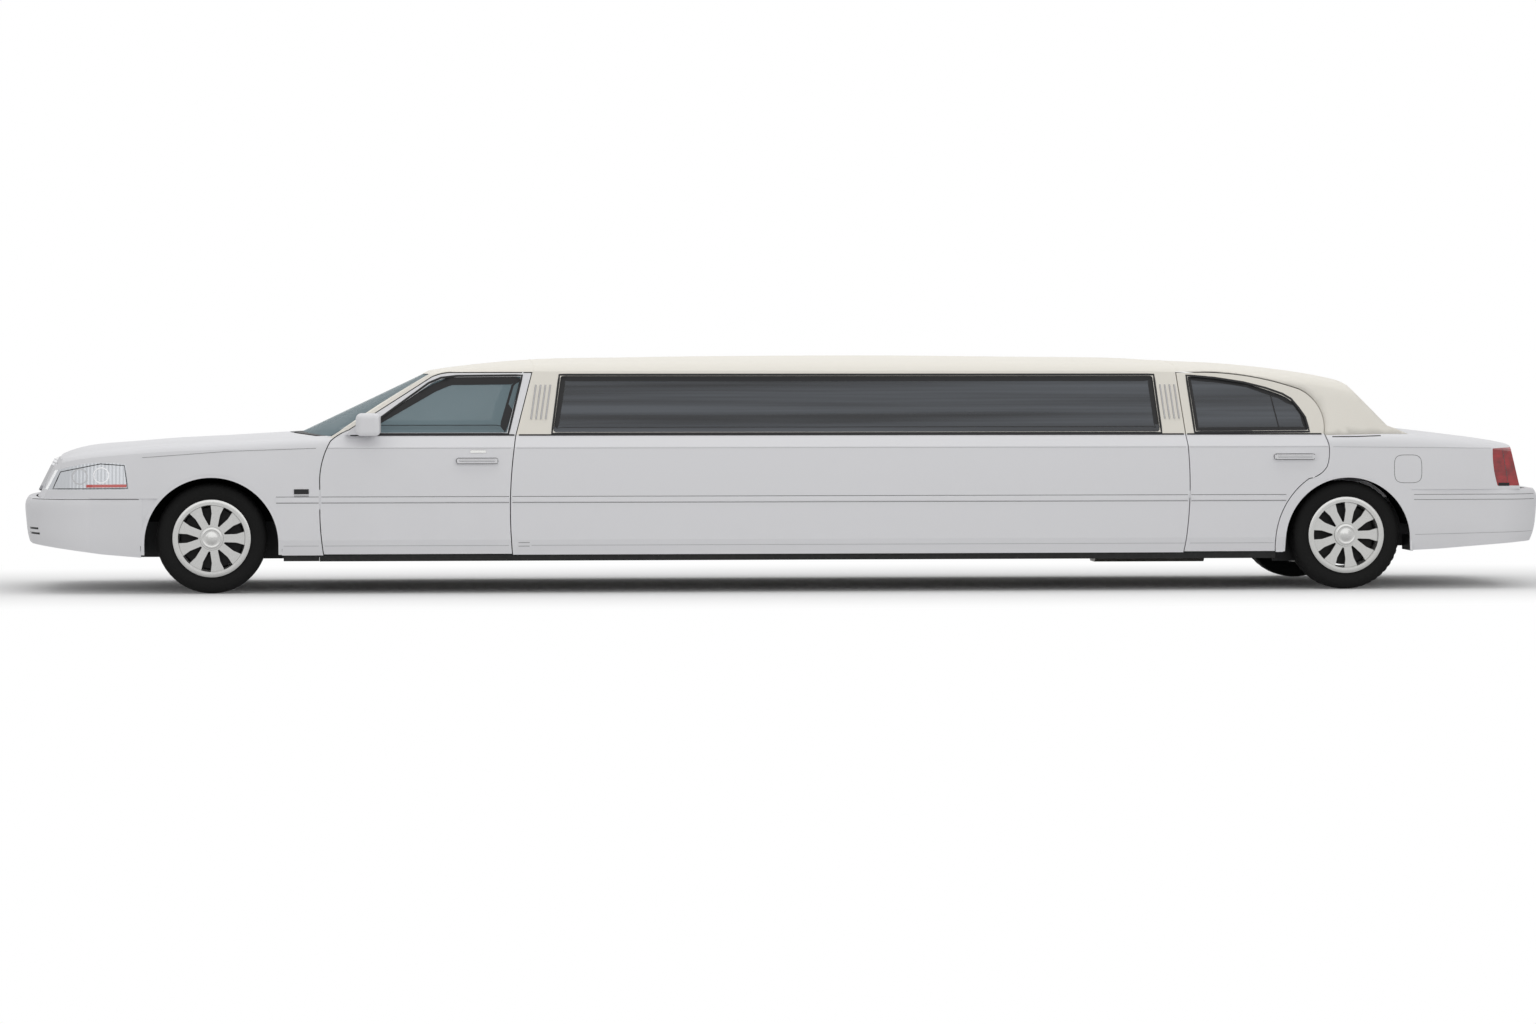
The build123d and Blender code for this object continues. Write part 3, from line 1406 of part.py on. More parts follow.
# Door mirrors
MIRROR_X = FA + 958
MIRROR_Z = 1040.0
with BuildPart() as mirror_left:
    with Locations((MIRROR_X, -HALF_WIDTH - 36, MIRROR_Z)):
        Box(150, 190, 138)
    fillet(mirror_left.edges().filter_by(Axis.Z), radius=40)
    fillet(mirror_left.edges().group_by(Axis.Z)[-1], radius=36)
    fillet(mirror_left.edges().group_by(Axis.Z)[0], radius=30)
    with BuildSketch(Plane.XZ.offset(side_y(1000) - 4)):
        with Locations((MIRROR_X - 6, 1003)):
            Rectangle(76, 36)
    extrude(amount=HALF_WIDTH - side_y(1000) + 10)
    add(door_front_left.part, mode=Mode.SUBTRACT)
mirror_left.part.label = "mirror_left"
export_step(mirror_left.part, "parts/mirror_left.step")

with BuildPart() as mirror_right:
    mirror(mirror_left.part, about=Plane.XZ)
mirror_right.part.label = "mirror_right"
export_step(mirror_right.part, "parts/mirror_right.step")
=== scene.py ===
import json
import math

import bpy
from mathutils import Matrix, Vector
from mathutils.bvhtree import BVHTree


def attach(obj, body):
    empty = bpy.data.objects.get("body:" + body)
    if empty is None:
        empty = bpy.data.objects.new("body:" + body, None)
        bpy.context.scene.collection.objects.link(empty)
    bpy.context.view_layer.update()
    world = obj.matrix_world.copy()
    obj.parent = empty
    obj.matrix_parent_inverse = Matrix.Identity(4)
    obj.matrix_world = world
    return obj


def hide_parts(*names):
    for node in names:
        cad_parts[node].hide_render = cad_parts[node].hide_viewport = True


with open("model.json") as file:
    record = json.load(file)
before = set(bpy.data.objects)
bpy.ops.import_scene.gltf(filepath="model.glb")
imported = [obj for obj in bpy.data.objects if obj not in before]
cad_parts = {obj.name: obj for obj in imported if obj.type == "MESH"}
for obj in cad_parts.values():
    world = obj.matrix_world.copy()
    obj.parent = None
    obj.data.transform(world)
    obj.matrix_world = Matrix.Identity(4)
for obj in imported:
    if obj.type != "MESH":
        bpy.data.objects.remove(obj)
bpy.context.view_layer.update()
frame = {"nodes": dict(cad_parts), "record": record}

record = frame["record"]
nodes = frame["nodes"]
body_of_node = {n: b for b, names in record["behaviour"]["bodies"].items() for n in names}
joint_at = {j["name"]: Vector(j["pos_m"]) for j in record["behaviour"]["joints"]}

# Main places on the car, in metres
FA = joint_at["spin_front_left"].x
RA = joint_at["spin_rear_left"].x
TYRE_R = joint_at["spin_front_left"].z
BELT_Z = 0.965
BELT_STRIP_Z = BELT_Z + 0.008
DRIP_Z = 1.360
ARCH_Z = 0.306
SKIN_Y = 0.985
LEFT = -1
RIGHT = 1
SIDES = ((LEFT, "left"), (RIGHT, "right"))


# Materials: one principled shader each, with procedural colour and relief where asked for
def shader(name, color, rough=0.4, metal=0.0, coat=0.0, bump=0.0, scale=200.0, vary=0.0, alpha=1.0,
           specular=0.5):
    mat = bpy.data.materials.new(name)
    mat.use_nodes = True
    tree = mat.node_tree
    bsdf = tree.nodes["Principled BSDF"]
    bsdf.inputs["Base Color"].default_value = (*color, 1)
    bsdf.inputs["Roughness"].default_value = rough
    bsdf.inputs["Metallic"].default_value = metal
    bsdf.inputs["Coat Weight"].default_value = coat
    bsdf.inputs["Coat Roughness"].default_value = 0.05
    bsdf.inputs["Alpha"].default_value = alpha
    bsdf.inputs["Specular IOR Level"].default_value = specular
    coords = tree.nodes.new("ShaderNodeTexCoord")
    noise = tree.nodes.new("ShaderNodeTexNoise")
    noise.inputs["Scale"].default_value = scale
    noise.inputs["Detail"].default_value = 4
    tree.links.new(coords.outputs["Object"], noise.inputs["Vector"])
    if vary:
        ramp = tree.nodes.new("ShaderNodeValToRGB")
        ramp.color_ramp.elements[0].position = 0.3
        ramp.color_ramp.elements[1].position = 0.7
        ramp.color_ramp.elements[0].color = (*[c * (1 - vary) for c in color], 1)
        ramp.color_ramp.elements[1].color = (*[min(1, c * (1 + vary)) for c in color], 1)
        tree.links.new(noise.outputs["Fac"], ramp.inputs["Fac"])
        tree.links.new(ramp.outputs["Color"], bsdf.inputs["Base Color"])
    if bump:
        relief = tree.nodes.new("ShaderNodeBump")
        relief.inputs["Strength"].default_value = bump
        relief.inputs["Distance"].default_value = 0.001
        tree.links.new(noise.outputs["Fac"], relief.inputs["Height"])
        tree.links.new(relief.outputs["Normal"], bsdf.inputs["Normal"])
    return mat


def ribbed(mat, scale, direction, strength, distance=0.002):
    """Adds fine parallel ribs to a material's relief."""
    tree = mat.node_tree
    bsdf = tree.nodes["Principled BSDF"]
    coords = tree.nodes.new("ShaderNodeTexCoord")
    wave = tree.nodes.new("ShaderNodeTexWave")
    wave.bands_direction = direction
    wave.inputs["Scale"].default_value = scale
    relief = tree.nodes.new("ShaderNodeBump")
    relief.inputs["Strength"].default_value = strength
    relief.inputs["Distance"].default_value = distance
    tree.links.new(coords.outputs["Object"], wave.inputs["Vector"])
    tree.links.new(wave.outputs["Fac"], relief.inputs["Height"])
    tree.links.new(relief.outputs["Normal"], bsdf.inputs["Normal"])
    return mat


PAINT_COAT = 0.12
UNDERSEAL = (0.012, 0.012, 0.012)
# Colour sockets of a mix node
MIX_A = 6
MIX_B = 7
MIX_RESULT = 2


def lined(mat, reaches, inner_y):
    """Black underseal on a painted piece inside the wheel arches."""
    tree = mat.node_tree
    bsdf = tree.nodes["Principled BSDF"]
    coords = tree.nodes.new("ShaderNodeTexCoord")
    parts = tree.nodes.new("ShaderNodeSeparateXYZ")
    tree.links.new(coords.outputs["Object"], parts.inputs[0])
    flat = tree.nodes.new("ShaderNodeVectorMath")
    flat.operation = "MULTIPLY"
    flat.inputs[1].default_value = (1, 0, 1)
    tree.links.new(coords.outputs["Object"], flat.inputs[0])

    def math_node(kind, a, b):
        node = tree.nodes.new("ShaderNodeMath")
        node.operation = kind
        for k, value in enumerate((a, b)):
            if isinstance(value, float):
                node.inputs[k].default_value = value
            else:
                tree.links.new(value, node.inputs[k])
        return node.outputs[0]

    near = []
    for axle, reach in reaches:
        away = tree.nodes.new("ShaderNodeVectorMath")
        away.operation = "DISTANCE"
        away.inputs[1].default_value = (axle, 0, ARCH_Z)
        tree.links.new(flat.outputs[0], away.inputs[0])
        near.append(math_node("LESS_THAN", away.outputs["Value"], reach))
    inside = math_node("LESS_THAN", math_node("ABSOLUTE", parts.outputs["Y"], 0.0), inner_y)
    mask = math_node("MULTIPLY", math_node("MAXIMUM", near[0], near[1]), inside)
    mix = tree.nodes.new("ShaderNodeMix")
    mix.data_type = "RGBA"
    paint = bsdf.inputs["Base Color"].links[0].from_socket
    tree.links.new(paint, mix.inputs[MIX_A])
    mix.inputs[MIX_B].default_value = (*UNDERSEAL, 1)
    tree.links.new(mask, mix.inputs[0])
    tree.links.new(mix.outputs[MIX_RESULT], bsdf.inputs["Base Color"])
    gloss = math_node("MULTIPLY", math_node("SUBTRACT", 1.0, mask), PAINT_COAT)
    tree.links.new(gloss, bsdf.inputs["Coat Weight"])
    return mat


def two_tone(lower, upper, height):
    """Paint below a height and the roof's vinyl above it."""
    mat = shader("paint and vinyl", lower, 0.3, coat=0.08, bump=0.15, scale=420, specular=0.0)
    tree = mat.node_tree
    bsdf = tree.nodes["Principled BSDF"]
    coords = tree.nodes.new("ShaderNodeTexCoord")
    parts = tree.nodes.new("ShaderNodeSeparateXYZ")
    above = tree.nodes.new("ShaderNodeMath")
    above.operation = "GREATER_THAN"
    above.inputs[1].default_value = height
    mix = tree.nodes.new("ShaderNodeMix")
    mix.data_type = "RGBA"
    mix.inputs[MIX_A].default_value = (*lower, 1)
    mix.inputs[MIX_B].default_value = (*upper, 1)
    tree.links.new(coords.outputs["Object"], parts.inputs[0])
    tree.links.new(parts.outputs["Z"], above.inputs[0])
    tree.links.new(above.outputs[0], mix.inputs[0])
    tree.links.new(mix.outputs[MIX_RESULT], bsdf.inputs["Base Color"])
    return mat


def streaked(mat, dark, light, stretch):
    """Level streaks of reflected surroundings in dark glass."""
    tree = mat.node_tree
    bsdf = tree.nodes["Principled BSDF"]
    coords = tree.nodes.new("ShaderNodeTexCoord")
    squeeze = tree.nodes.new("ShaderNodeMapping")
    squeeze.inputs["Scale"].default_value = stretch
    noise = tree.nodes.new("ShaderNodeTexNoise")
    noise.inputs["Scale"].default_value = 1.0
    noise.inputs["Detail"].default_value = 3
    ramp = tree.nodes.new("ShaderNodeValToRGB")
    ramp.color_ramp.elements[0].position = 0.36
    ramp.color_ramp.elements[1].position = 0.66
    ramp.color_ramp.elements[0].color = (*dark, 1)
    ramp.color_ramp.elements[1].color = (*light, 1)
    tree.links.new(coords.outputs["Object"], squeeze.inputs["Vector"])
    tree.links.new(squeeze.outputs["Vector"], noise.inputs["Vector"])
    tree.links.new(noise.outputs["Fac"], ramp.inputs["Fac"])
    tree.links.new(ramp.outputs["Color"], bsdf.inputs["Base Color"])
    return mat


WHITE = (0.80, 0.80, 0.82)
IVORY = (0.82, 0.79, 0.72)
SEALED_R = ((FA, 0.433), (RA, 0.409))
SEALED_Y = 0.968
MATERIALS = {
    "body_paint": lined(
        shader("white paint", WHITE, 0.25, vary=0.01, scale=3, specular=0.0), SEALED_R, SEALED_Y),
    "vinyl_roof": shader("ivory vinyl", IVORY, 0.55, bump=0.5, scale=420, vary=0.03),
    "clear_glass": shader(
        "tinted glass", (0.23, 0.31, 0.34), 0.03, coat=0.2, vary=0.05, scale=2, alpha=0.6, specular=0.0),
    "dark_glass": streaked(
        shader("dark glass", (0.03, 0.034, 0.042), 0.06, coat=0.3, alpha=0.95),
        (0.010, 0.012, 0.016), (0.075, 0.085, 0.10), (0.25, 0.25, 16)),
    "bright_trim": shader("bright trim", (0.47, 0.47, 0.48), 0.12, 1.0, vary=0.02, scale=30),
    "lamp_clear": ribbed(shader("lamp lens", (0.60, 0.62, 0.65), 0.10, 0.3, coat=0.6), 14, "X", 0.8),
    "lamp_red": ribbed(
        shader("red lens", (0.30, 0.006, 0.010), 0.15, coat=0.6, vary=0.5, scale=14), 12, "Z", 0.6),
    "chassis_black": shader(
        "chassis black", (0.018, 0.018, 0.018), 0.55, bump=0.2, vary=0.2, scale=40, specular=0.2),
    "black_plastic": shader(
        "grained black", (0.018, 0.018, 0.019), 0.5, bump=0.4, scale=600, vary=0.1, specular=0.25),
    "steel_pipe": shader("dull steel", (0.32, 0.30, 0.28), 0.45, 0.9, bump=0.2, vary=0.15, scale=25),
    "engine_grey": shader("cast grey", (0.10, 0.10, 0.105), 0.6, 0.4, bump=0.6, vary=0.2, scale=120),
    "alloy": shader("bright alloy", (0.52, 0.52, 0.51), 0.24, 0.85, vary=0.02, scale=50),
    "tyre": shader(
        "black rubber", (0.008, 0.008, 0.008), 0.72, bump=0.3, vary=0.15, scale=150, specular=0.15),
    "leather": shader("black leather", (0.030, 0.030, 0.033), 0.5, bump=0.6, vary=0.15, scale=300),
    "cabinet": ribbed(
        shader("dark veneer", (0.05, 0.028, 0.018), 0.25, coat=0.6, vary=0.3, scale=12), 6, "X", 0.1),
}
MARKER = shader("marker lens", (0.55, 0.035, 0.025), 0.12, coat=1.0, vary=0.05)
FLANGE = shader("flange paint", WHITE, 0.25, coat=PAINT_COAT, vary=0.01, scale=3, specular=0.0)
# Grey for thin lines along the body's creases: painted shade of the creases on the white paint
PAINTED_CREASE_SHADE = shader("crease", (0.42, 0.42, 0.43), 0.4, vary=0.05)
# Dark grey for shut lines, and for painted shade along the fender crease and the rear bumper moulding's edges
SEAM_AND_SHADE = shader("shut line and painted shade", (0.10, 0.10, 0.10), 0.6, vary=0.1)

slot_of_node = {s["node"]: s["material_slot"] for s in record["subparts"]}
for name, node in nodes.items():
    node.data.materials.clear()
    node.data.materials.append(MATERIALS[slot_of_node[name]])
SPLIT_PAINT = two_tone(WHITE, IVORY, BELT_STRIP_Z)
for name in ("stretch_sides", "door_rear_left", "door_rear_right"):
    nodes[name].data.materials[0] = SPLIT_PAINT


# Making and placing added pieces
def piece(name, verts, faces, slot, body, mat=None, smooth=False):
    data = bpy.data.meshes.new(name)
    data.from_pydata(verts, [], faces)
    data.update()
    obj = bpy.data.objects.new(name, data)
    bpy.context.scene.collection.objects.link(obj)
    data.materials.append(mat or MATERIALS[slot])
    if smooth:
        data.polygons.foreach_set("use_smooth", [True] * len(data.polygons))
    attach(obj, body)
    return obj


trees = {}


def tree_of(node):
    if node not in trees:
        obj = nodes[node]
        verts = [obj.matrix_world @ v.co for v in obj.data.vertices]
        trees[node] = BVHTree.FromPolygons(verts, [p.vertices[:] for p in obj.data.polygons])
    return trees[node]


BESIDE_Y = 1.3
ABOVE_Z = 3.0


def skin_y(node, x, z, side):
    """Outside face of a node at (x, z), seen from one side of the car."""
    hit = tree_of(node).ray_cast(Vector((x, side * BESIDE_Y, z)), Vector((0, -side, 0)))
    return None if hit[0] is None else hit[0].y


def skin_z(node, x, y):
    """Top face of a node at (x, y), seen from above."""
    hit = tree_of(node).ray_cast(Vector((x, y, ABOVE_Z)), Vector((0, 0, -1)))
    return None if hit[0] is None else hit[0].z


def dense(path, step, closed=False):
    """Points along a path of straight runs, no further apart than step."""
    points = []
    ends = path[1:] + path[:1] if closed else path[1:]
    for (x0, z0), (x1, z1) in zip(path, ends):
        count = max(1, math.ceil(math.hypot(x1 - x0, z1 - z0) / step))
        points += [(x0 + (x1 - x0) * i / count, z0 + (z1 - z0) * i / count) for i in range(count)]
    return points if closed else points + [path[-1]]


BURIED = 0.002
SKIN_STEP = 0.02
BEVEL_SHARE = 0.3
SHARP_DEGREES = 40


def band(name, node, path, width, proud, slot, side, closed=False, mat=None, step=0.04):
    """Trim strip that lies on a node's outside along a path of (x, z), bevelled at both edges."""
    points = dense(path, step, closed)
    bevel = min(BEVEL_SHARE * width, proud)
    rows = []
    count = len(points)
    for i, (x, z) in enumerate(points):
        before = points[i - 1] if closed or i else points[0]
        after = points[(i + 1) % count] if closed or i < count - 1 else points[-1]
        tangent = Vector((after[0] - before[0], after[1] - before[1])).normalized()
        across = Vector((-tangent.y, tangent.x))
        base = skin_y(node, x, z, side)
        if base is None:
            continue
        row = []
        half = width / 2
        for reach, out in ((-half, -BURIED), (bevel - half, proud), (half - bevel, proud), (half, -BURIED)):
            px, pz = x + across.x * reach, z + across.y * reach
            y = skin_y(node, px, pz, side)
            y = base if y is None or abs(y - base) > SKIN_STEP else y
            row.append((px, y + side * out, pz))
        rows.append(row)
    verts = [v for row in rows for v in row]
    faces = []
    total = len(rows)
    for i in range(total if closed else total - 1):
        a, b = 4 * i, 4 * ((i + 1) % total)
        faces += [(a + k, a + k + 1, b + k + 1, b + k) for k in range(3)]
        faces.append((a + 3, a, b, b + 3))
    if not closed:
        faces += [(0, 1, 2, 3), (4 * total - 1, 4 * total - 2, 4 * total - 3, 4 * total - 4)]
    if side > 0:
        faces = [f[::-1] for f in faces]
    return piece(name, verts, faces, slot, body_of_node[node], mat)


def revolved(name, profile, centre, segments, slot, body, lower=None):
    """Solid of revolution about Y; profile is a closed loop of (radius, y); lower(k, i) drops a point."""
    verts = []
    for i in range(segments):
        a = 2 * math.pi * i / segments
        for k, (r, y) in enumerate(profile):
            r -= lower(k, i) if lower else 0
            verts.append((centre.x + r * math.cos(a), centre.y + y, centre.z + r * math.sin(a)))
    n = len(profile)
    faces = []
    for i in range(segments):
        j = (i + 1) % segments
        faces += [(i * n + k, i * n + (k + 1) % n, j * n + (k + 1) % n, j * n + k) for k in range(n)]
    obj = piece(name, verts, faces, slot, body, smooth=True)
    obj.modifiers.new("edges", "EDGE_SPLIT").split_angle = math.radians(SHARP_DEGREES)
    return obj


def plate(name, outline, ys, thick, slot, body, side):
    """Flat-sided plate from an outline of (x, z), its outside at one y a point."""
    n = len(outline)
    verts = [(x, y, z) for (x, z), y in zip(outline, ys)]
    verts += [(x, y - side * thick, z) for (x, z), y in zip(outline, ys)]
    faces = [tuple(range(n)), tuple(range(2 * n - 1, n - 1, -1))]
    faces += [(k, n + k, n + (k + 1) % n, (k + 1) % n) for k in range(n)]
    return piece(name, verts, faces, slot, body)


def slab(name, xs, ys, zs, slot, body, side):
    """Box on one side of the car; ys are distances from the middle."""
    verts = [(x, y, z) for x in xs for y in sorted(side * y for y in ys) for z in zs]
    faces = [(0, 1, 3, 2), (4, 6, 7, 5), (0, 4, 5, 1), (2, 3, 7, 6), (0, 2, 6, 4), (1, 5, 7, 3)]
    return piece(name, verts, faces, slot, body)


def label(kind, node, tag):
    """Name of a trim piece that a table gives to a node on each side."""
    return f"{kind}_{node.format(tag)}_{tag}"


def circle(count):
    """Cosine and sine of evenly spaced angles."""
    return [(math.cos(2 * math.pi * k / count), math.sin(2 * math.pi * k / count)) for k in range(count)]


# Tyres with ribs and shoulder blocks
GROOVES = (0.020, 0.056)
GROOVE_HALF = 0.005
GROOVE_DEPTH = 0.007
GROOVE_FLOOR = 0.6 * GROOVE_HALF
RIB_DROP = 0.0005
CROWN_DROP = 0.0002
BORE_R = 0.2222
BEAD_R = 0.242
SEGMENTS = 144
SIPE_DEPTH = 0.004
SIPE_EVERY = 3
BLOCK_Y = (0.06, 0.101)
BLOCK_R = 0.330


def tyre_profile():
    """Closed loop of (radius, y): bore, sidewall, tread with its grooves, and the same mirrored."""
    half = [(BORE_R, 0.0), (BORE_R, 0.094), (BEAD_R, 0.0945)]
    half += [(0.262, 0.106), (0.284, 0.112), (0.304, 0.1115), (0.320, 0.107), (0.331, 0.0995), (0.337, 0.091)]
    for y in reversed(GROOVES):
        half += [(TYRE_R - RIB_DROP, y + GROOVE_HALF), (TYRE_R - GROOVE_DEPTH, y + GROOVE_FLOOR)]
        half += [(TYRE_R - GROOVE_DEPTH, y - GROOVE_FLOOR), (TYRE_R - RIB_DROP, y - GROOVE_HALF)]
    return half + [(TYRE_R - CROWN_DROP, 0.0)] + [(r, -y) for r, y in reversed(half[1:])]


profile = tyre_profile()
shoulder = [k for k, (r, y) in enumerate(profile) if BLOCK_Y[0] < abs(y) < BLOCK_Y[1] and r > BLOCK_R]


def sipe(k, i):
    """Depth of the cuts that part the shoulder blocks."""
    return SIPE_DEPTH if k in shoulder and i % SIPE_EVERY == 0 else 0.0


WHEELS = [
    # joint, body, tyre node, outer side
    ("spin_front_left", "wheel_fl", "tyre_front_left", LEFT),
    ("spin_front_right", "wheel_fr", "tyre_front_right", RIGHT),
    ("spin_rear_left", "wheel_rl", "tyre_rear_left", LEFT),
    ("spin_rear_right", "wheel_rr", "tyre_rear_right", RIGHT),
]
HUB_Y = 0.0935
HUB_SEGMENTS = 72
LIP_SEGMENTS = 96
CAP_PROFILE = [(0.001, 0.004), (0.030, 0.0035), (0.034, 0.001), (0.052, 0.0005), (0.056, 0.003), (0.068, 0.0)]
CAP_PROFILE += [(0.0685, -0.01), (0.001, -0.01)]
DISC_PROFILE = [(0.064, 0.018), (0.188, 0.018), (0.188, 0.004), (0.064, 0.004)]
LIP_PROFILE = [(0.2385, 0.1035), (0.232, 0.1065), (0.212, 0.1045), (0.212, 0.1025)]
for joint, body, node, side in WHEELS:
    centre = joint_at[joint]
    tyre = revolved(node + "_tread", profile, centre, SEGMENTS, "tyre", body, lower=sipe)
    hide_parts(node)
    cap = [(r, side * (HUB_Y + y)) for r, y in CAP_PROFILE]
    revolved(node + "_hub_cap", cap, centre, HUB_SEGMENTS, "alloy", body)
    disc = [(r, side * y) for r, y in DISC_PROFILE]
    revolved(node + "_brake_disc", disc, centre, HUB_SEGMENTS, "chassis_black", body)
    lip = [(r, side * y) for r, y in LIP_PROFILE]
    revolved(node + "_rim_lip", lip, centre, LIP_SEGMENTS, "alloy", body)

# Side mouldings, belt strips and window surrounds, one a panel, and louvres beside the long window
MOULDING_Z = 0.577
MOULDING_WIDTH = 0.034
MOULDING_PROUD = 0.005
EDGE_OFFSET = 0.019
EDGE_WIDTH = 0.004
EDGE_PROUD = 0.001
STRIP_WIDTH = 0.012
STRIP_PROUD = 0.003
RUNS = [
    # node, front x, rear x of the moulding
    ("front_fenders", FA + 0.395, FA + 0.655),
    ("door_front_{}", FA + 0.672, FA + 1.822),
    ("stretch_sides", FA + 1.842, RA - 1.014),
    ("door_rear_{}", RA - 0.994, RA - 0.395),
]
WINDOWS = [
    # node, outline as (x, z)
    ("door_front_{}", [
        (FA + 0.905, BELT_Z + 0.022), (FA + 1.812, BELT_Z + 0.022), (FA + 1.904, DRIP_Z - 0.028),
        (FA + 1.500, DRIP_Z - 0.032), (FA + 1.418, DRIP_Z - 0.043), (FA + 1.342, DRIP_Z - 0.075)]),
    ("stretch_sides", [
        (FA + 2.097, BELT_Z + 0.024), (RA - 1.177, BELT_Z + 0.024), (RA - 1.201, DRIP_Z - 0.025),
        (FA + 2.151, DRIP_Z - 0.025)]),
    ("door_rear_{}", [
        (RA - 0.951, BELT_Z + 0.026), (RA - 0.243, BELT_Z + 0.030), (RA - 0.262, 1.085),
        (RA - 0.300, DRIP_Z - 0.215), (RA - 0.343, DRIP_Z - 0.176), (RA - 0.395, DRIP_Z - 0.145),
        (RA - 0.500, DRIP_Z - 0.108), (RA - 0.620, DRIP_Z - 0.074), (RA - 0.800, DRIP_Z - 0.046),
        (RA - 0.979, DRIP_Z - 0.030)]),
]
BELTS = [
    # node, front x, rear x
    ("door_front_{}", FA + 0.850, FA + 1.858),
    ("stretch_sides", FA + 1.885, RA - 1.030),
    ("door_rear_{}", RA - 1.008, RA - 0.160),
]
SURROUND = 0.016
LOUVRE_FOOT = 1.070
LOUVRE_TOP = 1.282
LOUVRES = [
    # first x at the foot, lean over the height, bars
    (FA + 1.962, 0.034, 4),
    (RA - 1.142, -0.016, 4),
]
LOUVRE_PITCH = 0.030
LOUVRE_WIDTH = 0.013
LOUVRE_PROUD = 0.008


def grown(outline, amount):
    """Outline moved outward from its middle by about amount, or inward where that is negative."""
    cx = sum(x for x, _ in outline) / len(outline)
    cz = sum(z for _, z in outline) / len(outline)
    out = []
    for x, z in outline:
        out.append((x + amount * math.copysign(1, x - cx), z + amount * math.copysign(1, z - cz)))
    return out


for side, tag in SIDES:
    for node, x0, x1 in RUNS:
        path = [(x0, MOULDING_Z), (x1, MOULDING_Z)]
        band(label("moulding", node, tag), node.format(tag), path, MOULDING_WIDTH, MOULDING_PROUD,
             "body_paint", side)
        # Thin dark line along each moulding's top edge: painted shadow of the crease there
        path = [(x0, MOULDING_Z + EDGE_OFFSET), (x1, MOULDING_Z + EDGE_OFFSET)]
        band(label("line", node, tag), node.format(tag), path, EDGE_WIDTH, EDGE_PROUD, "black_plastic", side)
    for node, x0, x1 in BELTS:
        path = [(x0, BELT_STRIP_Z), (x1, BELT_STRIP_Z)]
        band(label("belt", node, tag), node.format(tag), path, STRIP_WIDTH, STRIP_PROUD,
             "black_plastic", side)
    for node, outline in WINDOWS:
        path = grown(outline, 0.5 * SURROUND)
        band(label("surround", node, tag), node.format(tag), path, SURROUND, STRIP_PROUD,
             "black_plastic", side, closed=True)
    for group, (x, lean, bars) in enumerate(LOUVRES):
        for k in range(bars):
            foot = x + k * LOUVRE_PITCH
            path = [(foot, LOUVRE_FOOT), (foot + lean, LOUVRE_TOP)]
            band(f"louvre_{group}_{k}_{tag}", "stretch_sides", path, LOUVRE_WIDTH, LOUVRE_PROUD,
                 "bright_trim", side)

# Details that only the left side has: fuel door line, keypad, fender marker, mark on the sill
FUEL = (RA + 0.378, 0.754)
FUEL_HALF = 0.087
FUEL_POWER = 4
FUEL_POINTS = 48
FUEL_PROUD = 0.0008
LINE_PROUD = 0.0015
LINE_STEP = 0.01
LEFT_DETAILS = [
    # name, node, front x, rear x, z, width, proud, slot
    ("keypad", "door_front_left", FA + 1.585, FA + 1.680, 0.872, 0.022, 0.003, "alloy"),
    ("fender_marker", "front_fenders", FA + 0.505, FA + 0.595, 0.628, 0.034, 0.004, "black_plastic"),
    ("fender_bar", "front_fenders", FA + 0.505, FA + 0.595, 0.602, 0.012, 0.004, "bright_trim"),
]
SILL_MARKS = (0.311, 0.289)
SILL_MARK_X = (FA + 1.880, FA + 1.948)
ring = []
for c, s in circle(FUEL_POINTS):
    r = FUEL_HALF / (abs(c) ** FUEL_POWER + abs(s) ** FUEL_POWER) ** (1 / FUEL_POWER)
    ring.append((FUEL[0] + r * c, FUEL[1] + r * s))
band("fuel_door_line", "rear_quarters", ring, EDGE_WIDTH, FUEL_PROUD, "black_plastic", LEFT,
     closed=True, mat=SEAM_AND_SHADE)
for name, node, x0, x1, z, width, proud, slot in LEFT_DETAILS:
    band(name, node, [(x0, z), (x1, z)], width, proud, slot, LEFT)
for k, z in enumerate(SILL_MARKS):
    band(f"sill_marker_{k}", "stretch_sides", [(x, z) for x in SILL_MARK_X], EDGE_WIDTH, LINE_PROUD,
         "black_plastic", LEFT, mat=SEAM_AND_SHADE, step=LINE_STEP)

# Marker strip along the foot of each headlamp
MARKER_PATH = [(FA - 0.760, 0.664), (FA - 0.515, 0.666)]
MARKER_WIDTH = 0.020
MARKER_PROUD = 0.002
for side, tag in SIDES:
    band(f"lamp_amber_{tag}", "headlamps", MARKER_PATH, MARKER_WIDTH, MARKER_PROUD, "lamp_red", side,
         mat=MARKER)

# Wheel arches: flanges at the skin, black liners and aprons inside, a rocker behind the front wheel
ARCHES = [
    # name, axle x, flange's inner and outer radius, panels round it, liner's inner y
    ("front", FA, 0.409, 0.432, ("front_fenders", "front_bumper"), 0.500),
    ("rear", RA, 0.395, 0.408, ("rear_quarters", "rear_bumper", "door_rear_{}"), 0.660),
]
ARCH_FOOT = 0.240
ARCH_STEPS = 48
LINER_FOOT = 0.240
LINER_TOP = ARCH_Z + 0.03
LINER_Y = 0.940
LINER_GAP = 0.008
LINER_HALF = 0.004
APRONS = [
    # name, axle x, reach ahead, reach behind, y, foot ahead, foot behind, top
    ("front", FA, 0.450, 0.450, 0.486, 0.210, 0.198, 0.436),
    ("rear", RA, 0.420, 0.490, 0.668, 0.168, 0.262, 0.500),
]
APRON_T = 0.008
FLANGE_T = 0.012
FLANGE_PROBE = 0.012
OUTER_Y = 0.9
ROCKER_X = (FA + 0.440, FA + 0.658)
ROCKER_Y = (0.780, 0.945)
ROCKER_Z = (0.200, 0.235)


def skin_near(panels, x, z, side, last):
    """Outermost face of some panels at a point, or the last one found."""
    found = [skin_y(panel, x, z, side) for panel in panels]
    found = [y for y in found if y is not None and abs(y) > OUTER_Y]
    return max(found, key=abs) if found else last


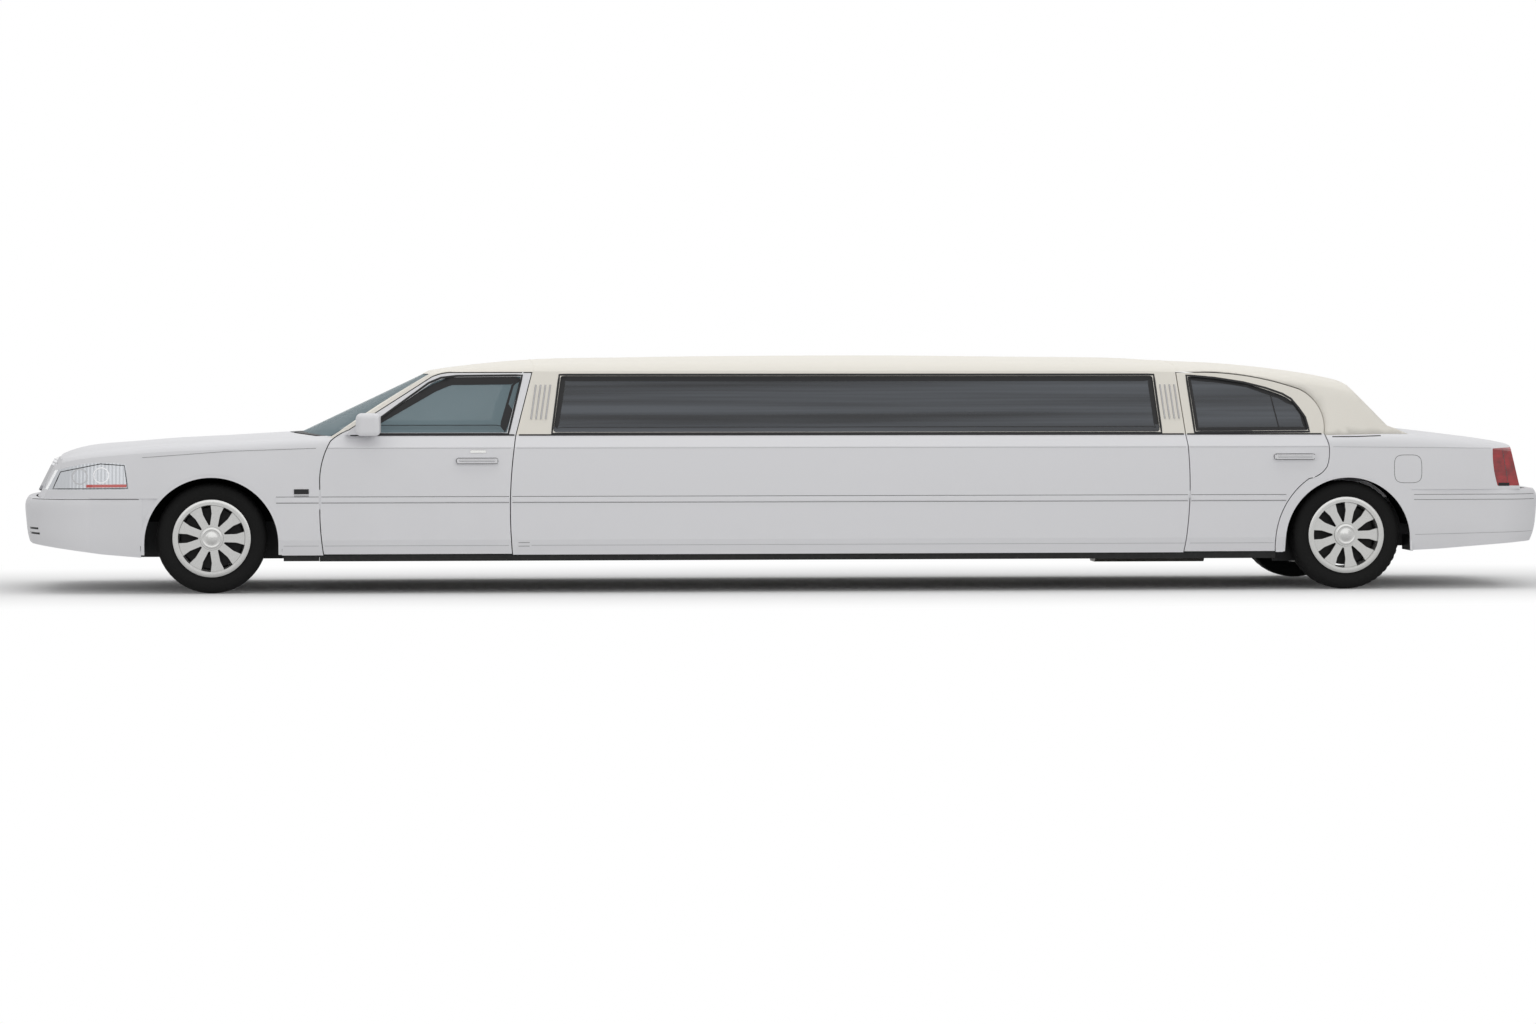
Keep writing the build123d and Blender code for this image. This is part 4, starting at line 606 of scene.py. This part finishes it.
for side, tag in SIDES:
    for name, axle, inner, outer, panels, liner_y in ARCHES:
        panels = [panel.format(tag) for panel in panels]
        path = [(axle + inner, ARCH_FOOT, axle + outer, ARCH_FOOT)]
        for k in range(ARCH_STEPS + 1):
            c, s = math.cos(math.pi * k / ARCH_STEPS), math.sin(math.pi * k / ARCH_STEPS)
            path.append((axle + inner * c, ARCH_Z + inner * s, axle + outer * c, ARCH_Z + outer * s))
        path.append((axle - inner, ARCH_FOOT, axle - outer, ARCH_FOOT))
        rows = []
        y = side * SKIN_Y
        for xi, zi, xo, zo in path:
            reach = Vector((xo - xi, zo - zi)).normalized() * FLANGE_PROBE
            y = skin_near(panels, xo + reach.x, zo + reach.y, side, y)
            back = y - side * FLANGE_T
            rows.append([(xo, y, zo), (xi, y, zi), (xi, back, zi), (xo, back, zo)])
        faces = []
        for k in range(len(rows) - 1):
            a, b = 4 * k, 4 * k + 4
            faces += [(a + i, a + (i + 1) % 4, b + (i + 1) % 4, b + i) for i in range(4)]
        faces += [(3, 2, 1, 0), tuple(4 * len(rows) - 4 + i for i in range(4))]
        verts = [v for row in rows for v in row]
        piece(f"arch_flange_{name}_{tag}", verts, faces, "body_paint", "body", FLANGE)
        for end, way in (("ahead", -1), ("behind", 1)):
            x = axle + way * (outer + LINER_GAP)
            slab(f"liner_{name}_{end}_{tag}", (x - LINER_HALF, x + LINER_HALF), (liner_y, LINER_Y),
                 (LINER_FOOT, LINER_TOP), "black_plastic", "body", side)
    for name, axle, ahead, behind, y, foot_ahead, foot_behind, top in APRONS:
        x0, x1 = axle - ahead, axle + behind
        outline = [(x0, foot_ahead), (axle, foot_ahead), (axle, foot_behind), (x1, foot_behind)]
        outline += [(x1, top), (x0, top)]
        ys = [side * y] * len(outline)
        plate(f"apron_{name}_{tag}", outline, ys, APRON_T, "black_plastic", "body", side)
    slab(f"front_rocker_{tag}", ROCKER_X, ROCKER_Y, ROCKER_Z, "chassis_black", "body", side)

# Front bumper's upper corner, between its end and the arch
BUMPER_END = FA - 0.436
BUMPER_TOP = 0.588
CORNER_R = 0.430
CORNER_FOOT = 0.330
CORNER_STEPS = 12
CORNER_LAP = 0.004
CORNER_T = 0.010
CORNER_PROBE = BUMPER_END - 0.020
for side, tag in SIDES:
    outline = []
    for k in range(CORNER_STEPS + 1):
        z = BUMPER_TOP + (CORNER_FOOT - BUMPER_TOP) * k / CORNER_STEPS
        outline.append((FA - math.sqrt(CORNER_R ** 2 - (z - ARCH_Z) ** 2), z))
    outline += [(BUMPER_END - CORNER_LAP, CORNER_FOOT), (BUMPER_END - CORNER_LAP, BUMPER_TOP)]
    ys = []
    for _, z in outline:
        ys.append(skin_near(["front_bumper"], CORNER_PROBE, z - CORNER_LAP, side, side * SKIN_Y))
    plate(f"bumper_corner_{tag}", outline, ys, CORNER_T, "body_paint", "body", side)

# Door handles: dark outline and bright pad on the door's own grip
HANDLES = [
    # door, middle x, z
    ("door_front_{}", FA + 1.626, 0.815),
    ("door_rear_{}", RA - 0.343, 0.832),
]
GRIP_HALF = 0.128
GRIP_R = 0.017
RING_POINTS = 32
PAD_HALF = GRIP_HALF - 0.02
PAD_RISE = 0.003
PAD_WIDTH = 0.018
PAD_PROUD = 0.004
GRIP_EDGE = 0.006
GRIP_EDGE_PROUD = 0.002
UPRIGHT = 1e-6
for side, tag in SIDES:
    for door, x, z in HANDLES:
        ring = []
        for c, s in circle(RING_POINTS):
            shift = math.copysign(GRIP_HALF - GRIP_R, c) if abs(c) > UPRIGHT else 0
            ring.append((x + shift + GRIP_R * c, z + GRIP_R * s))
        door = door.format(tag)
        band(f"handle_edge_{door}", door, ring, GRIP_EDGE, GRIP_EDGE_PROUD, "black_plastic", side,
             closed=True)
        path = [(x - PAD_HALF, z + PAD_RISE), (x + PAD_HALF, z + PAD_RISE)]
        band(f"handle_pad_{door}", door, path, PAD_WIDTH, PAD_PROUD, "bright_trim", side)

# Thin lines: painted shade of creases and of the mouldings' edges on the bumpers, bumper slots, vinyl's edge,
# window divider, tail lamps, painted shade at the mouldings' feet
SILL_Z = 0.294
SHOULDER_Z = 0.893
LINES = [
    # name, node, path, width, material
    # Front bumper line: painted shade along the moulding's top edge
    ("front_bumper_line", "front_bumper", [(FA - 1.100, 0.583), (FA - 0.440, 0.583)], 0.005, None),
    ("front_slot_upper", "front_bumper", [(FA - 1.125, 0.404), (FA - 1.060, 0.402)], 0.014, None),
    ("front_slot_lower", "front_bumper", [(FA - 1.125, 0.374), (FA - 1.050, 0.371)], 0.014, None),
    # Rear bumper lines: painted shade along the moulding's top and bottom edges
    ("rear_bumper_line", "rear_bumper", [(RA + 0.415, 0.594), (RA + 1.215, 0.594)], 0.004, SEAM_AND_SHADE),
    ("rear_bumper_low_line", "rear_bumper", [(RA + 0.415, 0.562), (RA + 1.215, 0.562)], 0.004, SEAM_AND_SHADE),
    # Painted shade of the rear bumper's low crease
    ("rear_bumper_crease", "rear_bumper", [(RA + 0.425, 0.343), (RA + 1.215, 0.360)], 0.004, PAINTED_CREASE_SHADE),
    # Painted shade of the fender's crease
    ("fender_crease", "front_fenders",
     [(FA - 0.420, 0.838), (FA + 0.100, 0.876), (FA + 0.640, 0.894)], 0.003, SEAM_AND_SHADE),
    ("vinyl_edge", "rear_quarters",
     [(RA - 0.095, 0.955), (RA + 0.060, 0.956), (RA + 0.215, 0.961)], 0.008, None),
    ("window_divider", "glass_rear_{}", [(RA - 0.420, 0.995), (RA - 0.470, 1.270)], 0.010, None),
    ("tail_corner", "tail_lamps", [(RA + 0.958, 0.655), (RA + 1.030, 0.655)], 0.022, None),
    ("tail_divider", "tail_lamps", [(RA + 0.985, 0.900), (RA + 1.020, 0.672)], 0.005, SEAM_AND_SHADE),
    # Sill lines: painted shade of the crease low along the side
    ("sill_fender", "front_fenders", [(FA + 0.440, SILL_Z), (FA + 0.655, SILL_Z)], 0.004, PAINTED_CREASE_SHADE),
    ("sill_front", "door_front_{}", [(FA + 0.690, SILL_Z), (FA + 1.822, SILL_Z)], 0.004, PAINTED_CREASE_SHADE),
    ("sill_stretch", "stretch_sides", [(FA + 1.960, SILL_Z), (RA - 1.030, SILL_Z)], 0.004, PAINTED_CREASE_SHADE),
    ("sill_rear", "door_rear_{}", [(RA - 1.000, SILL_Z), (RA - 0.470, SILL_Z)], 0.004, PAINTED_CREASE_SHADE),
    # Shoulder lines: painted shade of the shoulder crease
    ("shoulder_front", "door_front_{}", [(FA + 0.700, SHOULDER_Z), (FA + 1.835, SHOULDER_Z)], 0.003, PAINTED_CREASE_SHADE),
    ("shoulder_stretch", "stretch_sides",
     [(FA + 1.870, SHOULDER_Z), (RA - 1.026, SHOULDER_Z)], 0.003, PAINTED_CREASE_SHADE),
    ("shoulder_rear", "door_rear_{}", [(RA - 1.000, SHOULDER_Z), (RA - 0.128, SHOULDER_Z)], 0.003, PAINTED_CREASE_SHADE),
    ("shoulder_quarter", "rear_quarters", [(RA - 0.095, SHOULDER_Z), (RA + 0.920, 0.882)], 0.003, PAINTED_CREASE_SHADE),
]
for side, tag in SIDES:
    for name, node, path, width, mat in LINES:
        band(f"{name}_{tag}", node.format(tag), path, width, LINE_PROUD, "black_plastic", side,
             mat=mat, step=LINE_STEP)
    # Thin dark line at each moulding's foot: painted shade under the moulding
    for node, x0, x1 in RUNS:
        path = [(x0, MOULDING_Z - EDGE_OFFSET), (x1, MOULDING_Z - EDGE_OFFSET)]
        band(label("moulding_foot_shade", node, tag), node.format(tag), path, EDGE_WIDTH, EDGE_PROUD,
             "black_plastic", side)

# Dark borders printed on the side windows
BORDERS = [
    # glass node, window in the table, inset, width
    ("glass_front_{}", 0, 0.024, 0.050),
    ("stretch_glass", 1, 0.016, 0.034),
    ("glass_rear_{}", 2, 0.012, 0.022),
]
for side, tag in SIDES:
    for node, window, inset, width in BORDERS:
        path = grown(WINDOWS[window][1], -inset)
        band(label("border", node, tag), node.format(tag), path, width, EDGE_PROUD, "black_plastic", side,
             closed=True)

# Headlamps: dark outline and two reflector rings
LAMP_EDGE = [(-0.968, 0.646), (-0.508, 0.650), (-0.527, 0.790), (-0.674, 0.800), (-0.920, 0.750)]
LAMP_EDGE_WIDTH = 0.007
REFLECTOR_WIDTH = 0.010
REFLECTORS = [
    # x from the axle, z, radius
    (-0.800, 0.722, 0.046),
    (-0.668, 0.730, 0.046),
]
for side, tag in SIDES:
    path = [(FA + x, z) for x, z in LAMP_EDGE]
    band(f"lamp_edge_{tag}", "headlamps", path, LAMP_EDGE_WIDTH, LINE_PROUD, "black_plastic", side,
         closed=True)
    for k, (x, z, r) in enumerate(REFLECTORS):
        ring = [(FA + x + r * c, z + r * s) for c, s in circle(RING_POINTS)]
        band(f"reflector_{k}_{tag}", "headlamps", ring, REFLECTOR_WIDTH, EDGE_PROUD, "bright_trim", side,
             closed=True)

# Mirrors: sail at the window's front corner, and the glass
SAIL = [(FA + 0.818, 0.976), (FA + 0.905, 0.976), (FA + 0.905, 1.050), (FA + 0.872, 1.022)]
SAIL_Y = 0.972
SAIL_T = 0.050
MIRROR_REAR = FA + 1.033
GLASS_X = (MIRROR_REAR - 0.001, MIRROR_REAR + 0.002)
GLASS_Y = (0.960, 1.105)
GLASS_Z = (0.992, 1.090)
for side, tag in SIDES:
    body = body_of_node[f"mirror_{tag}"]
    plate(f"mirror_sail_{tag}", SAIL, [side * SAIL_Y] * len(SAIL), SAIL_T, "body_paint", body, side)
    slab(f"mirror_glass_{tag}", GLASS_X, GLASS_Y, GLASS_Z, "bright_trim", body, side)

# Roof without the blocks that the solid has outside the windshield at the pillar feet
PILLAR_CUT_Y = (0.8595, 1.1)
SCREEN_FOOT = (FA + 0.650, 0.914)
SCREEN_TOP = (FA + 1.471, 1.420)
CUT_FRONT = FA + 0.300
CUT_CORNERS = [SCREEN_FOOT, SCREEN_TOP, (CUT_FRONT, SCREEN_TOP[1]), (CUT_FRONT, SCREEN_FOOT[1])]
cutters = []
for side, tag in SIDES:
    data = bpy.data.meshes.new(f"pillar_cut_{tag}")
    verts = [(x, y, z) for y in sorted(side * y for y in PILLAR_CUT_Y) for x, z in CUT_CORNERS]
    faces = [(0, 1, 2, 3), (7, 6, 5, 4)]
    faces += [(k, 4 + k, 4 + (k + 1) % 4, (k + 1) % 4) for k in range(4)]
    data.from_pydata(verts, [], faces)
    data.update()
    cutter = bpy.data.objects.new(f"pillar_cut_{tag}", data)
    bpy.context.scene.collection.objects.link(cutter)
    cutters.append(cutter)
vinyl = bpy.data.objects.new("roof_vinyl", nodes["roof"].data.copy())
bpy.context.scene.collection.objects.link(vinyl)
for cutter in cutters:
    trim = vinyl.modifiers.new("pillar foot", "BOOLEAN")
    trim.operation = "DIFFERENCE"
    trim.object = cutter
    trim.solver = "EXACT"
graph = bpy.context.evaluated_depsgraph_get()
trimmed = bpy.data.meshes.new_from_object(vinyl.evaluated_get(graph))
vinyl.modifiers.clear()
vinyl.data = trimmed
for cutter in cutters:
    bpy.data.objects.remove(cutter)
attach(vinyl, "body")
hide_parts("roof")

# Roof seams follow the vinyl from side to side
ROOF_SEAMS = (FA + 1.985, RA - 1.045)
ROOF_SEAM_REACH = 0.735
ROOF_SEAM_HALF = 0.004
ROOF_SEAM_RISE = 0.002
ROOF_SEAM_BURIED = 0.001
ROOF_SEAM_STEPS = 60


def roof_seam(name, x):
    """Low ridge across the roof at one x."""
    rows = []
    for i in range(ROOF_SEAM_STEPS + 1):
        y = -ROOF_SEAM_REACH + 2 * ROOF_SEAM_REACH * i / ROOF_SEAM_STEPS
        z = skin_z("roof", x, y)
        if z is not None:
            foot = z - ROOF_SEAM_BURIED
            ahead, behind = x - ROOF_SEAM_HALF, x + ROOF_SEAM_HALF
            rows.append([(ahead, y, foot), (x, y, z + ROOF_SEAM_RISE), (behind, y, foot)])
    faces = []
    for i in range(len(rows) - 1):
        a, b = 3 * i, 3 * i + 3
        faces += [(a, a + 1, b + 1, b), (a + 1, a + 2, b + 2, b + 1)]
    piece(name, [v for row in rows for v in row], faces, "vinyl_roof", "body")


for k, x in enumerate(ROOF_SEAMS):
    roof_seam(f"roof_seam_{k}", x)

# Upholstery: softened copies of the plain seats
SEAT_VOXEL = 0.022
SEAT_SOFTENING = 10
for name in ("front_seats", "lounge_seats"):
    data = nodes[name].data.copy()
    seat = bpy.data.objects.new(name + "_upholstery", data)
    bpy.context.scene.collection.objects.link(seat)
    grid = seat.modifiers.new("even grid", "REMESH")
    grid.mode = "VOXEL"
    grid.voxel_size = SEAT_VOXEL
    grid.use_smooth_shade = True
    soften = seat.modifiers.new("soft edges", "SMOOTH")
    soften.iterations = SEAT_SOFTENING
    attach(seat, "body")
    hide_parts(name)

# Camera at the photograph's standpoint
camera = bpy.data.objects.new("camera", bpy.data.cameras.new("camera"))
bpy.context.scene.collection.objects.link(camera)
bpy.context.scene.camera = camera
camera.location = (-2.795, -31.0, 1.495)
YAW = math.radians(5.0)
PITCH = math.radians(1.9)
forward = Vector((math.sin(YAW) * math.cos(PITCH), math.cos(YAW) * math.cos(PITCH), -math.sin(PITCH)))
camera.rotation_mode = "QUATERNION"
camera.rotation_quaternion = forward.to_track_quat("-Z", "Y")
camera.data.lens = 114.3
camera.data.sensor_width = 36.0
camera.data.clip_end = 200.0
camera.data.dof.use_dof = False

SURROUND_LIGHT = 0.5


def background_level(tree):
    """Plain white for what camera, gloss and glass see of the background, and less as light on the car."""
    rays = tree.nodes.new("ShaderNodeLightPath")
    seen = rays.outputs["Is Camera Ray"]
    for kind in ("Is Glossy Ray", "Is Transmission Ray"):
        either = tree.nodes.new("ShaderNodeMath")
        either.operation = "MAXIMUM"
        tree.links.new(seen, either.inputs[0])
        tree.links.new(rays.outputs[kind], either.inputs[1])
        seen = either.outputs[0]
    level = tree.nodes.new("ShaderNodeMapRange")
    level.inputs["To Min"].default_value = SURROUND_LIGHT
    level.inputs["To Max"].default_value = 1.0
    tree.links.new(seen, level.inputs["Value"])
    return level.outputs["Result"]


# Pale floor that fades to a plain white ground away from the car
FADE_SQUEEZE = (0.2, 0.7, 0)
FADE_FROM = 0.6
FADE_TO = 2.2


def floor_material():
    mat = bpy.data.materials.new("pale floor")
    mat.use_nodes = True
    tree = mat.node_tree
    out = tree.nodes["Material Output"]
    bsdf = tree.nodes["Principled BSDF"]
    bsdf.inputs["Base Color"].default_value = (0.86, 0.86, 0.86, 1)
    bsdf.inputs["Roughness"].default_value = 0.9
    glow = tree.nodes.new("ShaderNodeEmission")
    tree.links.new(background_level(tree), glow.inputs["Strength"])
    place = tree.nodes.new("ShaderNodeNewGeometry")
    squeeze = tree.nodes.new("ShaderNodeVectorMath")
    squeeze.operation = "MULTIPLY"
    squeeze.inputs[1].default_value = FADE_SQUEEZE
    length = tree.nodes.new("ShaderNodeVectorMath")
    length.operation = "LENGTH"
    fade = tree.nodes.new("ShaderNodeMapRange")
    fade.interpolation_type = "SMOOTHSTEP"
    fade.inputs["From Min"].default_value = FADE_FROM
    fade.inputs["From Max"].default_value = FADE_TO
    mix = tree.nodes.new("ShaderNodeMixShader")
    tree.links.new(place.outputs["Position"], squeeze.inputs[0])
    tree.links.new(squeeze.outputs["Vector"], length.inputs[0])
    tree.links.new(length.outputs["Value"], fade.inputs["Value"])
    tree.links.new(fade.outputs["Result"], mix.inputs["Fac"])
    tree.links.new(bsdf.outputs["BSDF"], mix.inputs[1])
    tree.links.new(glow.outputs["Emission"], mix.inputs[2])
    tree.links.new(mix.outputs["Shader"], out.inputs["Surface"])
    return mat


FLOOR_HALF = 60.0
corners = [(-FLOOR_HALF, -FLOOR_HALF, 0), (FLOOR_HALF, -FLOOR_HALF, 0), (FLOOR_HALF, FLOOR_HALF, 0)]
corners.append((-FLOOR_HALF, FLOOR_HALF, 0))
floor_data = bpy.data.meshes.new("floor")
floor_data.from_pydata(corners, [], [(0, 1, 2, 3)])
floor = bpy.data.objects.new("floor", floor_data)
bpy.context.scene.collection.objects.link(floor)
floor_data.materials.append(floor_material())

# Soft studio light: white surroundings and wide lamps above and in front
world = bpy.data.worlds.new("studio")
bpy.context.scene.world = world
world.use_nodes = True
tree = world.node_tree
back = tree.nodes["Background"]
back.inputs["Color"].default_value = (1, 1, 1, 1)
tree.links.new(background_level(tree), back.inputs["Strength"])
LAMPS = [
    # name, place, aim, size x, size y, watts
    ("overhead", (0, 0, 6.0), (0, 0, 0), 16.0, 7.0, 260),
    ("front_fill", (0, -10.0, 4.5), (0, 0, 0.7), 18.0, 6.0, 240),
]
for name, place, aim, size_x, size_y, watts in LAMPS:
    data = bpy.data.lights.new(name, "AREA")
    data.shape = "RECTANGLE"
    data.size = size_x
    data.size_y = size_y
    data.energy = watts
    lamp = bpy.data.objects.new(name, data)
    bpy.context.scene.collection.objects.link(lamp)
    lamp.location = place
    lamp.rotation_mode = "QUATERNION"
    lamp.rotation_quaternion = (Vector(aim) - Vector(place)).to_track_quat("-Z", "Y")

bpy.context.scene.view_settings.view_transform = "Standard"
